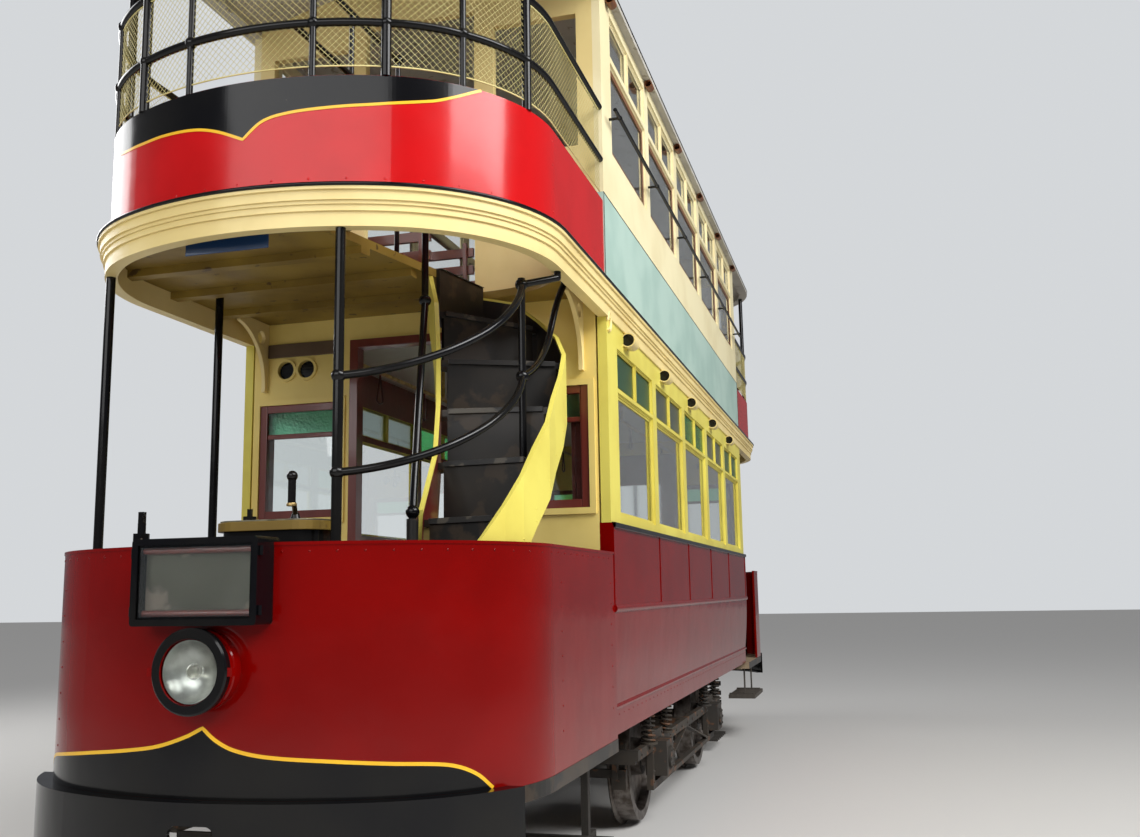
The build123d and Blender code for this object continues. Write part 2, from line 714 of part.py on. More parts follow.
def string_solid(stations, outward_sign):
    """Loft one string through upright sections, each square to the run of the string."""
    with BuildPart() as string:
        for place, (point, nosing_z) in enumerate(stations):
            before = stations[max(place - 1, 0)][0]
            after = stations[min(place + 1, len(stations) - 1)][0]
            tangent = (after - before).normalized()
            outward = Vector(tangent.Y, -tangent.X) * outward_sign
            low_z = max(platform_z, nosing_z - string_below)
            high_z = min(nosing_z + string_above, deck_under_z)
            with BuildSketch(Plane(origin=(point.X, point.Y, 0), x_dir=outward,
                                   z_dir=outward.cross(Vector(0, 0, 1)))):
                with Locations((string_thickness / 2, (low_z + high_z) / 2)):
                    Rectangle(string_thickness, high_z - low_z)
        loft(ruled=True)
    return string.part


inner_string_start = 3
steps = list(enumerate(nosings))
outer_string = string_solid(string_stations(steps, "outer"), 1)
inner_string = string_solid(string_stations(steps[inner_string_start:], "inner"), -1)
with BuildPart() as stair_strings:
    add(outer_string)
    add(inner_string)
keep_both_ends("stair_strings", stair_strings.part)


def plan_y(plan, inset, x):
    """Front outline's y at a distance x from the middle of the car."""
    half, front_y, corner_r, front_r = plan
    corner_x = half - corner_r
    front_cy = front_y + front_r
    corner_cy = front_cy - sqrt((front_r - corner_r) ** 2 - corner_x ** 2)
    join_x = corner_x * (front_r - inset) / (front_r - corner_r)
    if abs(x) <= join_x:
        return front_cy - sqrt((front_r - inset) ** 2 - x ** 2)
    return corner_cy - sqrt((corner_r - inset) ** 2 - (abs(x) - corner_x) ** 2)


# Platform pillars under the canopy
pillar_radius = 20
pillar_inset = fascia_thickness / 2
side_pillar_x = across(-0.817)
entrance_pillar = (across(-0.770), along(0.357))
with BuildPart() as pillars:
    for x, y, top_z in ((side_pillar_x, plan_y(canopy_plan, pillar_inset, side_pillar_x), cantrail_z),
                        (entrance_pillar[0], entrance_pillar[1], deck_under_z)):
        with BuildSketch(Plane.XY.offset(platform_z)):
            with Locations((x, y)):
                Circle(pillar_radius)
        extrude(amount=top_z - platform_z)
keep_pair("platform_pillars", pillars.part)

# Stair rails: two outer rails from their pillar round to a post on the stair and on up to the canopy
rail_radius = 16
joint_radius = 28
stair_pillar = (across(0.3756), plan_y(canopy_plan, pillar_inset, across(0.3756)))
rail_post = (across(0.850), along(0.548))
rail_bow = (across(0.751), along(0.812))
rail_post_step = 5
# columns: height at the pillar, height where the rail bows out most, height at the rail post
stair_rail_heights = ((2290, 2430, 2795), (1919, 2050, 2385))
upper_rail_end = (across(0.9725), along(0.480))
upper_rail_bend_z = cantrail_z - 28
# columns: across share, along share, height: the lower rail from the rail post up to the canopy
lower_rail_rise = ((0.850, 0.4242, 2480), (0.845, 0.309, 2640), (0.858, 0.245, 2850))
lower_rail_top = (across(0.880), along(0.218))
# the inner handrail: its foot, its ball and its post up to the balcony's guard rail
handrail_foot = (across(0.470), along(0.682), 1810)
handrail_top = (across(0.415), along(0.536), 2770)
with BuildPart() as stair_rails:
    for pillar_z, middle_z, post_z in stair_rail_heights:
        with BuildLine() as rail_path:
            ThreePointArc((*stair_pillar, pillar_z), (*rail_bow, middle_z), (*rail_post, post_z))
        rail_wire = rail_path.wires()[0]
        with BuildSketch(Plane(origin=rail_wire @ 0, z_dir=rail_wire % 0)):
            Circle(rail_radius)
        sweep(path=rail_wire)
        balls([(*stair_pillar, pillar_z), (*rail_post, post_z)], joint_radius)
    tube_between((*rail_post, platform_z + rail_post_step * rise),
                 (*rail_post, stair_rail_heights[0][2] + joint_radius), rail_radius)
    tube_between((*stair_pillar, platform_z), (*stair_pillar, cantrail_z), pillar_radius)
    tube_between((*rail_post, stair_rail_heights[0][2]), (*upper_rail_end, upper_rail_bend_z), rail_radius)
    balls([(*upper_rail_end, upper_rail_bend_z)], rail_radius)
    tube_between((*upper_rail_end, upper_rail_bend_z), (*upper_rail_end, cantrail_z), rail_radius)
    round_bar([(*rail_post, stair_rail_heights[1][2]),
               *[(across(row[0]), along(row[1]), row[2]) for row in lower_rail_rise],
               (*lower_rail_top, deck_under_z - 2 * rail_radius)], rail_radius)
    balls([(*lower_rail_top, deck_under_z - 2 * rail_radius)], rail_radius)
    tube_between((*lower_rail_top, deck_under_z - 2 * rail_radius), (*lower_rail_top, deck_under_z),
                 rail_radius)
keep_both_ends("stair_rails", stair_rails.part)


def car_outline(plan, inset):
    """Whole outline of the car in plan: both ends and the sides between them."""
    with BuildSketch(mode=Mode.PRIVATE) as outline:
        end_face(plan, inset, 0)
        mirror(about=Plane.XZ)
    return outline.sketch


def outline_ring(outer_inset, inner_inset, low_z, high_z):
    """A band that follows the canopies and the sides of the car."""
    with BuildSketch(Plane.XY.offset(low_z)) as band:
        add(car_outline(canopy_plan, outer_inset))
        add(car_outline(canopy_plan, inner_inset), mode=Mode.SUBTRACT)
    extrude(band.sketch, amount=high_z - low_z)


# Moulding round the canopies and along the sides, between the lower saloon and the deck
fascia_bead = 15
fascia_top_z = deck_z + fascia_bead
# columns: how far each band stands proud of the outline, its lowest height, its highest height
fascia_bands = (
    (0, cantrail_z, cantrail_z + 60),
    (9, cantrail_z + 60, cantrail_z + 85),
    (16, cantrail_z + 85, cantrail_z + 100),
    (24, cantrail_z + 100, fascia_top_z - 26),
    (34, fascia_top_z - 26, fascia_top_z),
)
with BuildPart() as canopy_moulding:
    for proud, low_z, high_z in fascia_bands:
        outline_ring(-proud, fascia_thickness, low_z, high_z)
keep("canopy_moulding", canopy_moulding.part)

# Deck over the saloon, and the canopy floors with their ribs and their stairwells
deck_inset = fascia_thickness
rib_width = 60
rib_depth = 35
rib_end_x = across(0.28)
rib_places = [along(share) for share in (0.86, 0.64, 0.42, 0.20)]
well_front = (across(0.047), along(1.132))
well_side = (across(0.3146), along(0.3775))
well_turn = (across(0.394), along(0.4157))
well_radius = across(0.5634)
well_outside = across(1.13)
with BuildPart() as upper_floor:
    box_at(-(half_width - deck_inset), half_width - deck_inset, end_y, -end_y, deck_under_z, deck_z)
keep("upper_floor", upper_floor.part)

with BuildPart() as canopy_floor:
    with BuildSketch(Plane.XY.offset(deck_under_z)):
        end_face(canopy_plan, deck_inset, end_y)
    extrude(amount=deck_thickness)
    with BuildSketch(Plane.XY.offset(deck_under_z - rib_depth)) as ribs:
        for place in rib_places:
            with Locations(((rib_end_x - half_width) / 2, place)):
                Rectangle(rib_end_x + half_width, rib_width)
        end_face(canopy_plan, deck_inset, end_y, mode=Mode.INTERSECT)
    extrude(amount=rib_depth)
    with BuildSketch(Plane.XY.offset(deck_under_z - rib_depth)):
        with BuildLine() as well:
            arc_start = (well_turn[0], well_turn[1] + well_radius)
            arc_middle = (well_turn[0] + well_radius * cos(pi / 4), well_turn[1] + well_radius * sin(pi / 4))
            arc_end = (well_turn[0] + well_radius, well_turn[1])
            Polyline(well_front, well_side, nosings[-1][2:4], arc_start)
            ThreePointArc(arc_start, arc_middle, arc_end)
            Polyline(arc_end, (well_outside, well_turn[1]), (well_outside, well_front[1]), well_front)
        make_face(well.edges())
    extrude(amount=rib_depth + deck_thickness, mode=Mode.SUBTRACT)
keep_both_ends("canopy_floor", canopy_floor.part)

# Scroll brackets between the bulkheads and the canopies
bracket_thickness = 22
bracket_reach = 300
bracket_drop = 390
bracket_web = 36
bracket_ring_radius = 38
bracket_x = across(0.864)
bracket_top_z = deck_under_z
with BuildPart() as canopy_bracket:
    for side in (-1, 1):
        x = side * bracket_x - bracket_thickness / 2
        with BuildSketch(Plane.YZ.offset(x)):
            with BuildLine():
                Polyline((end_y, bracket_top_z), (end_y - bracket_reach, bracket_top_z),
                         (end_y - bracket_reach, bracket_top_z - bracket_web))
                ThreePointArc((end_y - bracket_reach, bracket_top_z - bracket_web),
                              (end_y - bracket_reach * 0.38, bracket_top_z - bracket_drop * 0.36),
                              (end_y - bracket_web, bracket_top_z - bracket_drop))
                Polyline((end_y - bracket_web, bracket_top_z - bracket_drop),
                         (end_y, bracket_top_z - bracket_drop), (end_y, bracket_top_z))
            make_face()
            with Locations((end_y - 2.1 * bracket_ring_radius, bracket_top_z - 2.3 * bracket_ring_radius)):
                Circle(bracket_ring_radius, mode=Mode.SUBTRACT)
        extrude(amount=bracket_thickness)
keep_pair("canopy_brackets", canopy_bracket.part)

# Upper side panels and window frames
upper_outer_x = half_width - 10
upper_inner_x = half_width - fascia_thickness
wall_top_z = gutter_z - 45
with BuildPart() as upper_panels:
    for side in (-1, 1):
        x_low, x_high = sorted((side * upper_inner_x, side * upper_outer_x))
        box_at(x_low, x_high, end_y, -end_y, fascia_top_z, upper_panel_top_z)
keep("upper_panels", upper_panels.part)

with BuildPart() as upper_frame:
    with BuildSketch(Plane.YZ.offset(upper_inner_x)):
        with Locations((0, (upper_panel_top_z + wall_top_z) / 2)):
            Rectangle(saloon_length, wall_top_z - upper_panel_top_z)
        bay_openings(upper_window_bottom_z, upper_window_top_z, upper_toplight_bottom_z, upper_toplight_top_z)
    extrude(amount=upper_outer_x - upper_inner_x)
    with BuildSketch(Plane.YZ.offset(upper_outer_x)):
        bay_openings(upper_window_bottom_z, upper_window_top_z, upper_toplight_bottom_z, upper_toplight_top_z,
                     grow=rebate, mode=Mode.ADD)
    extrude(amount=-rebate, mode=Mode.SUBTRACT)
keep("upper_frame_right", upper_frame.part)
keep("upper_frame_left", upper_frame.part.mirror(Plane.YZ))

with BuildPart() as upper_glass:
    for side in (-1, 1):
        with BuildSketch(Plane.YZ.offset(side * (upper_inner_x + upper_outer_x - rebate) / 2)):
            bay_openings(upper_window_bottom_z, upper_window_top_z, upper_toplight_bottom_z,
                         upper_toplight_top_z, mode=Mode.ADD)
        extrude(amount=glass_thickness)
keep("upper_glass", upper_glass.part)

# Ventilators: open drums under the moulding, one for each bay on both sides
ventilator_radius = 40
ventilator_wall = 6
ventilator_length = 120
ventilator_depth = 90
ventilator_x = half_width + 18
ventilator_z = cantrail_z - ventilator_radius - 4
ventilator_shift = -bay_pitch * 0.3
with BuildPart() as ventilators:
    for place in bay_places:
        with BuildSketch(Plane.XZ.offset(-(place + ventilator_shift))):
            with Locations((ventilator_x, ventilator_z)):
                Circle(ventilator_radius)
        extrude(amount=-ventilator_length)
        with BuildSketch(Plane.XZ.offset(-(place + ventilator_shift))):
            with Locations((ventilator_x, ventilator_z)):
                Circle(ventilator_radius - ventilator_wall)
        extrude(amount=-ventilator_depth, mode=Mode.SUBTRACT)
    box_at(0, frame_outer_x, end_y, -end_y, waist_z, deck_z, mode=Mode.SUBTRACT)
    mirror(about=Plane.YZ)
keep("ventilators", ventilators.part)

# Roof: an arched shell on an eaves band, rounded in plan and domed over the balconies
roof_half = half_width + roof_overhang
dome_flat = 5


def arch_z(x, crown_z, eaves_z):
    """Height of the roof arch at a distance x from the middle of the car."""
    height = crown_z - eaves_z
    radius = (roof_half ** 2 + height ** 2) / (2 * height)
    return crown_z - radius + sqrt(radius ** 2 - x ** 2)


def arch_prism(crown_z, eaves_z, low_z, length):
    """What lies under the roof arch, which runs on a little past the eaves, from end to end."""
    wide = roof_half + wall
    wide_z = arch_z(wide, crown_z, eaves_z)
    with BuildPart() as prism:
        with BuildSketch(Plane.XZ):
            with BuildLine():
                ThreePointArc((-wide, wide_z), (0, crown_z), (wide, wide_z))
                Polyline((wide, wide_z), (wide, low_z), (-wide, low_z), (-wide, wide_z))
            make_face()
        extrude(amount=length, both=True)
    return prism.part


def dome_pair(crown_z, eaves_z, low_z):
    """What lies under the domes of both ends, with a block between their centres."""
    half, front_y, corner_r, front_r = canopy_plan
    dome_y = front_y + front_r
    reach = front_r + roof_overhang
    flat = reach - roof_half
    wide = roof_half + wall
    half_z = arch_z(wide / 2, crown_z + dome_flat, eaves_z)
    wide_z = arch_z(wide, crown_z + dome_flat, eaves_z)
    with BuildPart() as dome:
        with BuildSketch(Plane.YZ):
            with BuildLine():
                Polyline((0, low_z), (0, crown_z + dome_flat), (flat, crown_z + dome_flat))
                ThreePointArc((flat, crown_z + dome_flat), (flat + wide / 2, half_z), (flat + wide, wide_z))
                Polyline((flat + wide, wide_z), (flat + wide, low_z), (0, low_z))
            make_face()
        revolve(axis=Axis.Z)
    with BuildPart() as pair:
        box_at(-roof_half - wall, roof_half + wall, dome_y, -dome_y, low_z, crown_z + wall)
        for end in (-1, 1):
            add(dome.part.moved(Location((0, -end * dome_y, 0))))
    return pair.part


def roof_body(inset, crown_z, eaves_z, low_z):
    """The space inside one outline and under both the arch and the domes."""
    with BuildPart() as body:
        with BuildSketch(Plane.XY.offset(low_z)) as cover:
            add(car_outline(canopy_plan, inset))
        extrude(cover.sketch, amount=crown_z + 2 * wall - low_z)
        add(arch_prism(crown_z, eaves_z, low_z - wall, -canopy_plan[1] + wall), mode=Mode.INTERSECT)
        add(dome_pair(crown_z, eaves_z, low_z - wall), mode=Mode.INTERSECT)
    return body.part


roof_top_z = gutter_z + roof_rise
roof_under_z = roof_top_z - roof_thickness
eaves_under_z = gutter_z - roof_thickness
with BuildPart() as roof:
    add(roof_body(-roof_overhang, roof_top_z, gutter_z, wall_top_z))
    add(roof_body(fascia_thickness, roof_under_z, eaves_under_z, wall_top_z - wall), mode=Mode.SUBTRACT)
keep("roof", roof.part)

# Upper bulkheads with a doorway and two windows
upper_door_half = 330
upper_door_top_z = 4700
upper_bulkhead_window_width = 480
upper_bulkhead_window_height = 760
upper_bulkhead_window_x = across(0.6385)
upper_bulkhead_window_z = 4210
with BuildPart() as upper_bulkhead:
    with BuildSketch(front_bulkhead_plane):
        shoulder_z = arch_z(upper_inner_x, roof_under_z, eaves_under_z)
        with BuildLine():
            Polyline((-upper_inner_x, shoulder_z), (-upper_inner_x, deck_z), (upper_inner_x, deck_z),
                     (upper_inner_x, shoulder_z))
            ThreePointArc((upper_inner_x, shoulder_z), (0, roof_under_z), (-upper_inner_x, shoulder_z))
        make_face()
        with Locations((0, (deck_z + upper_door_top_z) / 2)):
            Rectangle(2 * upper_door_half, upper_door_top_z - deck_z, mode=Mode.SUBTRACT)
        with Locations((-upper_bulkhead_window_x, upper_bulkhead_window_z),
                       (upper_bulkhead_window_x, upper_bulkhead_window_z)):
            Rectangle(upper_bulkhead_window_width, upper_bulkhead_window_height, mode=Mode.SUBTRACT)
    extrude(amount=-upper_wall)
keep_both_ends("upper_bulkhead", upper_bulkhead.part)

# Balcony panels, rails and the posts that carry the balcony roof
panel_inset = 15
panel_thickness = 20
rail_inset = panel_inset + panel_thickness / 2
collar_radius = 25
roof_post_radius = tube_radius + 4
rail_post_radius = tube_radius - 3
with BuildPart() as balcony_panel:
    with BuildSketch(Plane.XY.offset(fascia_top_z)):
        end_face(canopy_plan, panel_inset, end_y)
        end_face(canopy_plan, panel_inset + panel_thickness, end_y, mode=Mode.SUBTRACT)
    extrude(amount=balcony_panel_top_z - fascia_top_z)
keep_both_ends("balcony_panel", balcony_panel.part)

roof_post_x = [across(share) for share in (-0.939, -0.526, 0.526, 0.939)]
rail_post_x = [across(share) for share in (-0.770, -0.263, 0.263, 0.770)]
with BuildPart() as balcony_rails:
    for rail_z in (balcony_mid_rail_z, balcony_top_rail_z):
        with BuildLine(Plane.XY.offset(rail_z)) as round_rail:
            end_lines(canopy_plan, rail_inset, end_y)
        with BuildSketch(Plane(origin=round_rail.wires()[0] @ 0, z_dir=round_rail.wires()[0] % 0)):
            Circle(tube_radius)
        sweep(path=round_rail.wires()[0])
    for x in roof_post_x:
        y = plan_y(canopy_plan, rail_inset, x)
        tube_between((x, y, balcony_panel_top_z), (x, y, wall_top_z), roof_post_radius)
        balls([(x, y, balcony_mid_rail_z), (x, y, balcony_top_rail_z)], collar_radius)
    for x in rail_post_x:
        y = plan_y(canopy_plan, rail_inset, x)
        tube_between((x, y, balcony_panel_top_z), (x, y, balcony_top_rail_z), rail_post_radius)
        balls([(x, y, balcony_mid_rail_z), (x, y, balcony_top_rail_z)], collar_radius)
keep_both_ends("balcony_rails", balcony_rails.part)

# Guard rails: round each stairwell, down the stair's inner side, and outside the upper windows
guard_gap = 0.5
guard_front_x = across(0.188)
guard_front_y = plan_y(canopy_plan, rail_inset, guard_front_x + rail_post_radius) + tube_radius + guard_gap
guard_front = (guard_front_x, guard_front_y)
guard_back = (across(0.220), along(0.4522))
guard_post_share = 0.5
link_y = handrail_top[1]
link_share = (link_y - guard_back[1]) / (guard_front[1] - guard_back[1])
link_x = guard_back[0] + (guard_front[0] - guard_back[0]) * link_share
newel_top = (nosings[0][0], nosings[1][1], platform_z + newel_steps * rise)
handrail_start = (newel_top[0], newel_top[1], newel_top[2] + joint_radius)
window_rail_x = half_width + 50
window_rail_radius = 11
window_rail_z = balcony_top_rail_z
window_rail_end = 60
rail_stay_radius = 8
link_radius = 11
guard_post_radius = rail_post_radius - 2
with BuildPart() as guard_rails:
    for rail_z in (balcony_mid_rail_z, balcony_top_rail_z):
        tube_between((*guard_front, rail_z), (*guard_back, rail_z), rail_post_radius)
        balls([(*guard_back, rail_z)], collar_radius)
    post_x = (guard_front[0] + guard_back[0]) * guard_post_share
    post_y = (guard_front[1] + guard_back[1]) * guard_post_share
    for x, y in ((post_x, post_y), guard_back):
        tube_between((x, y, deck_z), (x, y, balcony_top_rail_z), guard_post_radius)
    tube_between(newel_top, handrail_start, rail_radius)
    balls([handrail_start, handrail_top], joint_radius)
    tube_between(handrail_start, handrail_top, rail_radius)
    tube_between(handrail_top, (handrail_top[0], handrail_top[1], balcony_mid_rail_z), rail_radius)
    balls([(handrail_top[0], handrail_top[1], balcony_mid_rail_z)], collar_radius)
    tube_between((handrail_top[0], handrail_top[1], balcony_mid_rail_z), (link_x, link_y, balcony_mid_rail_z),
                 link_radius)
    tube_between((window_rail_x, end_y + window_rail_end, window_rail_z),
                 (window_rail_x, -end_y - window_rail_end, window_rail_z), window_rail_radius)
    for bay in range(bay_count + 1):
        y = (bay - bay_count / 2) * bay_pitch
        tube_between((upper_outer_x, y, window_rail_z), (window_rail_x, y, window_rail_z), rail_stay_radius)
        balls([(window_rail_x, y, window_rail_z)], window_rail_radius + 4)
keep_pair("guard_rails", guard_rails.part)

# Seats: long benches below, slatted seats in rows above
bench_front_x = 560
bench_height = 430
bench_board = 30
bench_back_top_z = 1780
bench_leg_shift = 40
bench_leg_thickness = 25
bench_back_low = 70
bench_back_high = 30
bench_end_space = 70
bench_top_z = saloon_floor_z + bench_height
bench_under_z = bench_top_z - bench_board
bench_leg_x = bench_front_x + bench_leg_shift
with BuildPart() as bench:
    with BuildSketch(Plane.XZ):
        with BuildLine():
            Polyline((bench_front_x, bench_top_z), (bench_front_x, bench_under_z), (bench_leg_x, bench_under_z),
                     (bench_leg_x, saloon_floor_z), (bench_leg_x + bench_leg_thickness, saloon_floor_z),
                     (bench_leg_x + bench_leg_thickness, bench_under_z), (side_inner_x, bench_under_z),
                     (side_inner_x, bench_back_top_z), (side_inner_x - bench_back_high, bench_back_top_z),
                     (side_inner_x - bench_back_low, bench_top_z), close=True)
        make_face()
    extrude(amount=-bulkhead_inner_y - bench_end_space, both=True)
    mirror(about=Plane.YZ)
keep("benches", bench.part)

seat_row_count = 7
seat_end_space = 560
seat_pitch = (saloon_length - 2 * seat_end_space) / (seat_row_count - 1)
seat_length = 640
seat_inner_x = 250
seat_depth = 400
seat_height = 400
seat_slat = 28
seat_slat_width = 62
seat_slat_count = 5
seat_back_height = 850
seat_back_slats = 3
seat_frame = 26
seat_end_inset = 40
with BuildPart() as upper_seat:
    for slat in range(seat_slat_count):
        y = (slat - (seat_slat_count - 1) / 2) * (seat_depth - seat_slat_width) / (seat_slat_count - 1)
        box_at(0, seat_length, y - seat_slat_width / 2, y + seat_slat_width / 2, deck_z + seat_height,
               deck_z + seat_height + seat_slat)
    for leg_x in (seat_end_inset, seat_length - seat_end_inset - seat_frame):
        box_at(leg_x, leg_x + seat_frame, -seat_depth / 2, seat_depth / 2, deck_z + seat_height - seat_frame,
               deck_z + seat_height)
        for leg_y in (-seat_depth / 2 + seat_frame, seat_depth / 2 - 2 * seat_frame):
            box_at(leg_x, leg_x + seat_frame, leg_y, leg_y + seat_frame, deck_z, deck_z + seat_height)
        box_at(leg_x, leg_x + seat_frame, seat_depth / 2 - seat_frame, seat_depth / 2, deck_z + seat_height,
               deck_z + seat_back_height)
    for slat in range(seat_back_slats):
        z = deck_z + seat_back_height - (slat + 0.5) * 2 * seat_slat_width
        box_at(0, seat_length, seat_depth / 2, seat_depth / 2 + seat_slat, z - seat_slat_width / 2,
               z + seat_slat_width / 2)
with BuildPart() as upper_seats:
    for row in range(seat_row_count):
        place = (row - (seat_row_count - 1) / 2) * seat_pitch
        for x in (seat_inner_x, -seat_inner_x - seat_length):
            add(upper_seat.part.moved(Location((x, place, 0))))
keep("upper_seats", upper_seats.part)

# Truck side frames: top bar, pedestal legs round each axle box, and a tie bar between the pedestals
frame_plate_x = 900
frame_plate = 40
frame_bar_low_z = 470
frame_bar_high_z = 530
pedestal_half = 120
pedestal_leg = 50
pedestal_top_z = 585
pedestal_low_z = 235
pedestal_foot = 45
frame_end_y = axle_y + 600
box_clearance = 6
box_half = pedestal_half - box_clearance
journal_outer_x = 985
crossbar_half = 30
middle_bar_half = 60
tie_bar_height = 30
strut_width = 40
with BuildPart() as truck_frame:
    for side in (-1, 1):
        with BuildSketch(Plane.YZ.offset(side * frame_plate_x - frame_plate / 2)):
            with Locations((0, (frame_bar_low_z + frame_bar_high_z) / 2)):
                Rectangle(2 * frame_end_y, frame_bar_high_z - frame_bar_low_z)
            with Locations((0, pedestal_low_z + tie_bar_height / 2)):
                Rectangle(2 * axle_y, tie_bar_height)
            for end in (-1, 1):
                with BuildLine() as strut:
                    Polyline((0, frame_bar_low_z), (end * strut_width, frame_bar_low_z),
                             (end * (axle_y - pedestal_half), pedestal_low_z + tie_bar_height),
                             (end * (axle_y - pedestal_half - 2 * strut_width), pedestal_low_z + tie_bar_height),
                             (0, frame_bar_low_z))
                make_face(strut.edges())
            for axle in (-axle_y, axle_y):
                with Locations((axle, (pedestal_low_z + pedestal_top_z) / 2)):
                    Rectangle(2 * (pedestal_half + pedestal_leg), pedestal_top_z - pedestal_low_z)
                with Locations((axle, (pedestal_low_z + pedestal_foot + frame_bar_high_z) / 2)):
                    Rectangle(2 * pedestal_half, frame_bar_high_z - pedestal_low_z - pedestal_foot,
                              mode=Mode.SUBTRACT)
        extrude(amount=frame_plate)
    for end in (-1, 1):
        bar_y = end * (frame_end_y - crossbar_half)
        box_at(-frame_plate_x, frame_plate_x, bar_y - crossbar_half, bar_y + crossbar_half,
               frame_bar_low_z - 20, frame_bar_high_z)
    box_at(-frame_plate_x, frame_plate_x, -middle_bar_half, middle_bar_half, frame_bar_low_z - 30,
           frame_bar_high_z)
keep("truck_frame", truck_frame.part)

# Axle boxes in the pedestals, open to the journals, with a lid in front
axle_box_inner_x = 862
axle_box_outer_x = 1000
axle_box_below = 100
axle_box_above = 110
guide_inner_x = frame_plate_x - 15
guide_outer_x = frame_plate_x + 15
guide_half = 60
lid_radius = 70
lid_thickness = 14
with BuildPart() as axle_boxes:
    for axle in (-axle_y, axle_y):
        for side in (-1, 1):
            x_low, x_high = sorted((side * axle_box_inner_x, side * axle_box_outer_x))
            box_at(x_low, x_high, axle - box_half, axle + box_half, axle_z - axle_box_below,
                   axle_z + axle_box_above)
            tube_between((side * axle_box_outer_x, axle, axle_z),
                         (side * (axle_box_outer_x + lid_thickness), axle, axle_z), lid_radius)
            for face in (-1, 1):
                y_low, y_high = sorted((axle + face * box_half, axle + face * pedestal_half))
                x_low, x_high = sorted((side * guide_inner_x, side * guide_outer_x))
                box_at(x_low, x_high, y_low, y_high, axle_z - guide_half, axle_z + guide_half)
    for axle in (-axle_y, axle_y):
        with BuildSketch(Plane.YZ.offset(-journal_outer_x)):
            with Locations((axle, axle_z)):
                Circle(journal_radius + journal_clearance)
        extrude(amount=2 * journal_outer_x, mode=Mode.SUBTRACT)
keep("axle_boxes", axle_boxes.part)

# Springs between the side frames and the solebars: ringed outlines turned round an upright axis
spring_radius = 46
spring_core = 30
spring_seat_radius = 56
spring_seat_height = 14
spring_turns = 6
spring_shift = 290
spring_x = frame_plate_x + 20
spring_places = [axle + shift for axle in (-axle_y, axle_y) for shift in (-spring_shift, spring_shift)]
spring_low_z = frame_bar_high_z + spring_seat_height
turn_height = (sill_bottom_z - spring_seat_height - spring_low_z) / spring_turns
with BuildPart() as spring:
    with BuildSketch(Plane.XZ):
        with BuildLine():
            Polyline((0, frame_bar_high_z), (spring_seat_radius, frame_bar_high_z),
                     (spring_seat_radius, spring_low_z), (spring_core, spring_low_z))
            for turn in range(spring_turns):
                low_z = spring_low_z + turn * turn_height
                Polyline((spring_core, low_z), (spring_radius, low_z + turn_height * 0.3),
                         (spring_radius, low_z + turn_height * 0.7), (spring_core, low_z + turn_height))
            top_seat_z = sill_bottom_z - spring_seat_height
            Polyline((spring_core, top_seat_z), (spring_seat_radius, top_seat_z),
                     (spring_seat_radius, sill_bottom_z), (0, sill_bottom_z), (0, frame_bar_high_z))
        make_face()
    revolve(axis=Axis.Z)
with BuildPart() as springs:
    for x in (-spring_x, spring_x):
        for place in spring_places:
            add(spring.part.moved(Location((x, place, 0))))
keep("springs", springs.part)

# Motors hung between the axles from the middle crossbar: round-cornered cases with a flanged lid
motor_half = 320
motor_low_z = 230
motor_high_z = 620
motor_corner = 120
motor_gap = 110
motor_flange = 18
with BuildPart() as motors:
    for end in (-1, 1):
        y_near, y_far = end * middle_bar_half, end * (axle_y - axle_radius - motor_gap)
        middle_y, length = (y_near + y_far) / 2, abs(y_far - y_near)
        with BuildSketch(Plane.YZ.offset(-motor_half)):
            with Locations((middle_y, (motor_low_z + motor_high_z) / 2)):
                RectangleRounded(length - 2 * motor_flange, motor_high_z - motor_low_z, motor_corner)
        extrude(amount=2 * motor_half)
        flange_z = (motor_low_z + motor_high_z) / 2
        box_at(-motor_half, motor_half, min(y_near, y_far), max(y_near, y_far), flange_z - motor_flange,
               flange_z + motor_flange)
keep("motors", motors.part)

# Brake shoes curved to the treads, on beams hung from the truck's end crossbars
shoe_gap = 10
shoe_thickness = 50
shoe_angle = 18
shoe_inner_x = 715
shoe_outer_x = 805
brake_beam_shift = 95
brake_beam_half = 20
brake_beam_end = 820
brake_beam_low = 60
brake_beam_high = 10
with BuildPart() as brake_gear:
    for end in (-1, 1):
        beam_y = end * (axle_y + tread_radius + brake_beam_shift)
        facing = 0 if end > 0 else 180
        box_at(-brake_beam_end, brake_beam_end, beam_y - brake_beam_half, beam_y + brake_beam_half,
               axle_z - brake_beam_low, axle_z - brake_beam_high)
        for side in (-1, 1):
            x_low, x_high = sorted((side * shoe_inner_x, side * shoe_outer_x))
            with BuildSketch(Plane.YZ.offset(x_low)):
                with BuildLine() as shoe:
                    inner = CenterArc((end * axle_y, axle_z), tread_radius + shoe_gap, facing - shoe_angle,
                                      2 * shoe_angle)
                    outer = CenterArc((end * axle_y, axle_z), tread_radius + shoe_gap + shoe_thickness,
                                      facing - shoe_angle, 2 * shoe_angle)
                    Line(inner @ 0, outer @ 0)
                    Line(inner @ 1, outer @ 1)
                make_face(shoe.edges())
            extrude(amount=x_high - x_low)
            y_low, y_high = sorted((end * (axle_y + tread_radius + shoe_thickness), beam_y))
            box_at(x_low + 25, x_high - 25, y_low, y_high, axle_z - brake_beam_low, axle_z - brake_beam_high)
            y_low, y_high = sorted((beam_y, end * (frame_end_y - 2 * crossbar_half)))
            box_at(x_low + 30, x_high - 30, y_low, y_high, axle_z - brake_beam_low, frame_bar_high_z - 10)
keep("brake_gear", brake_gear.part)

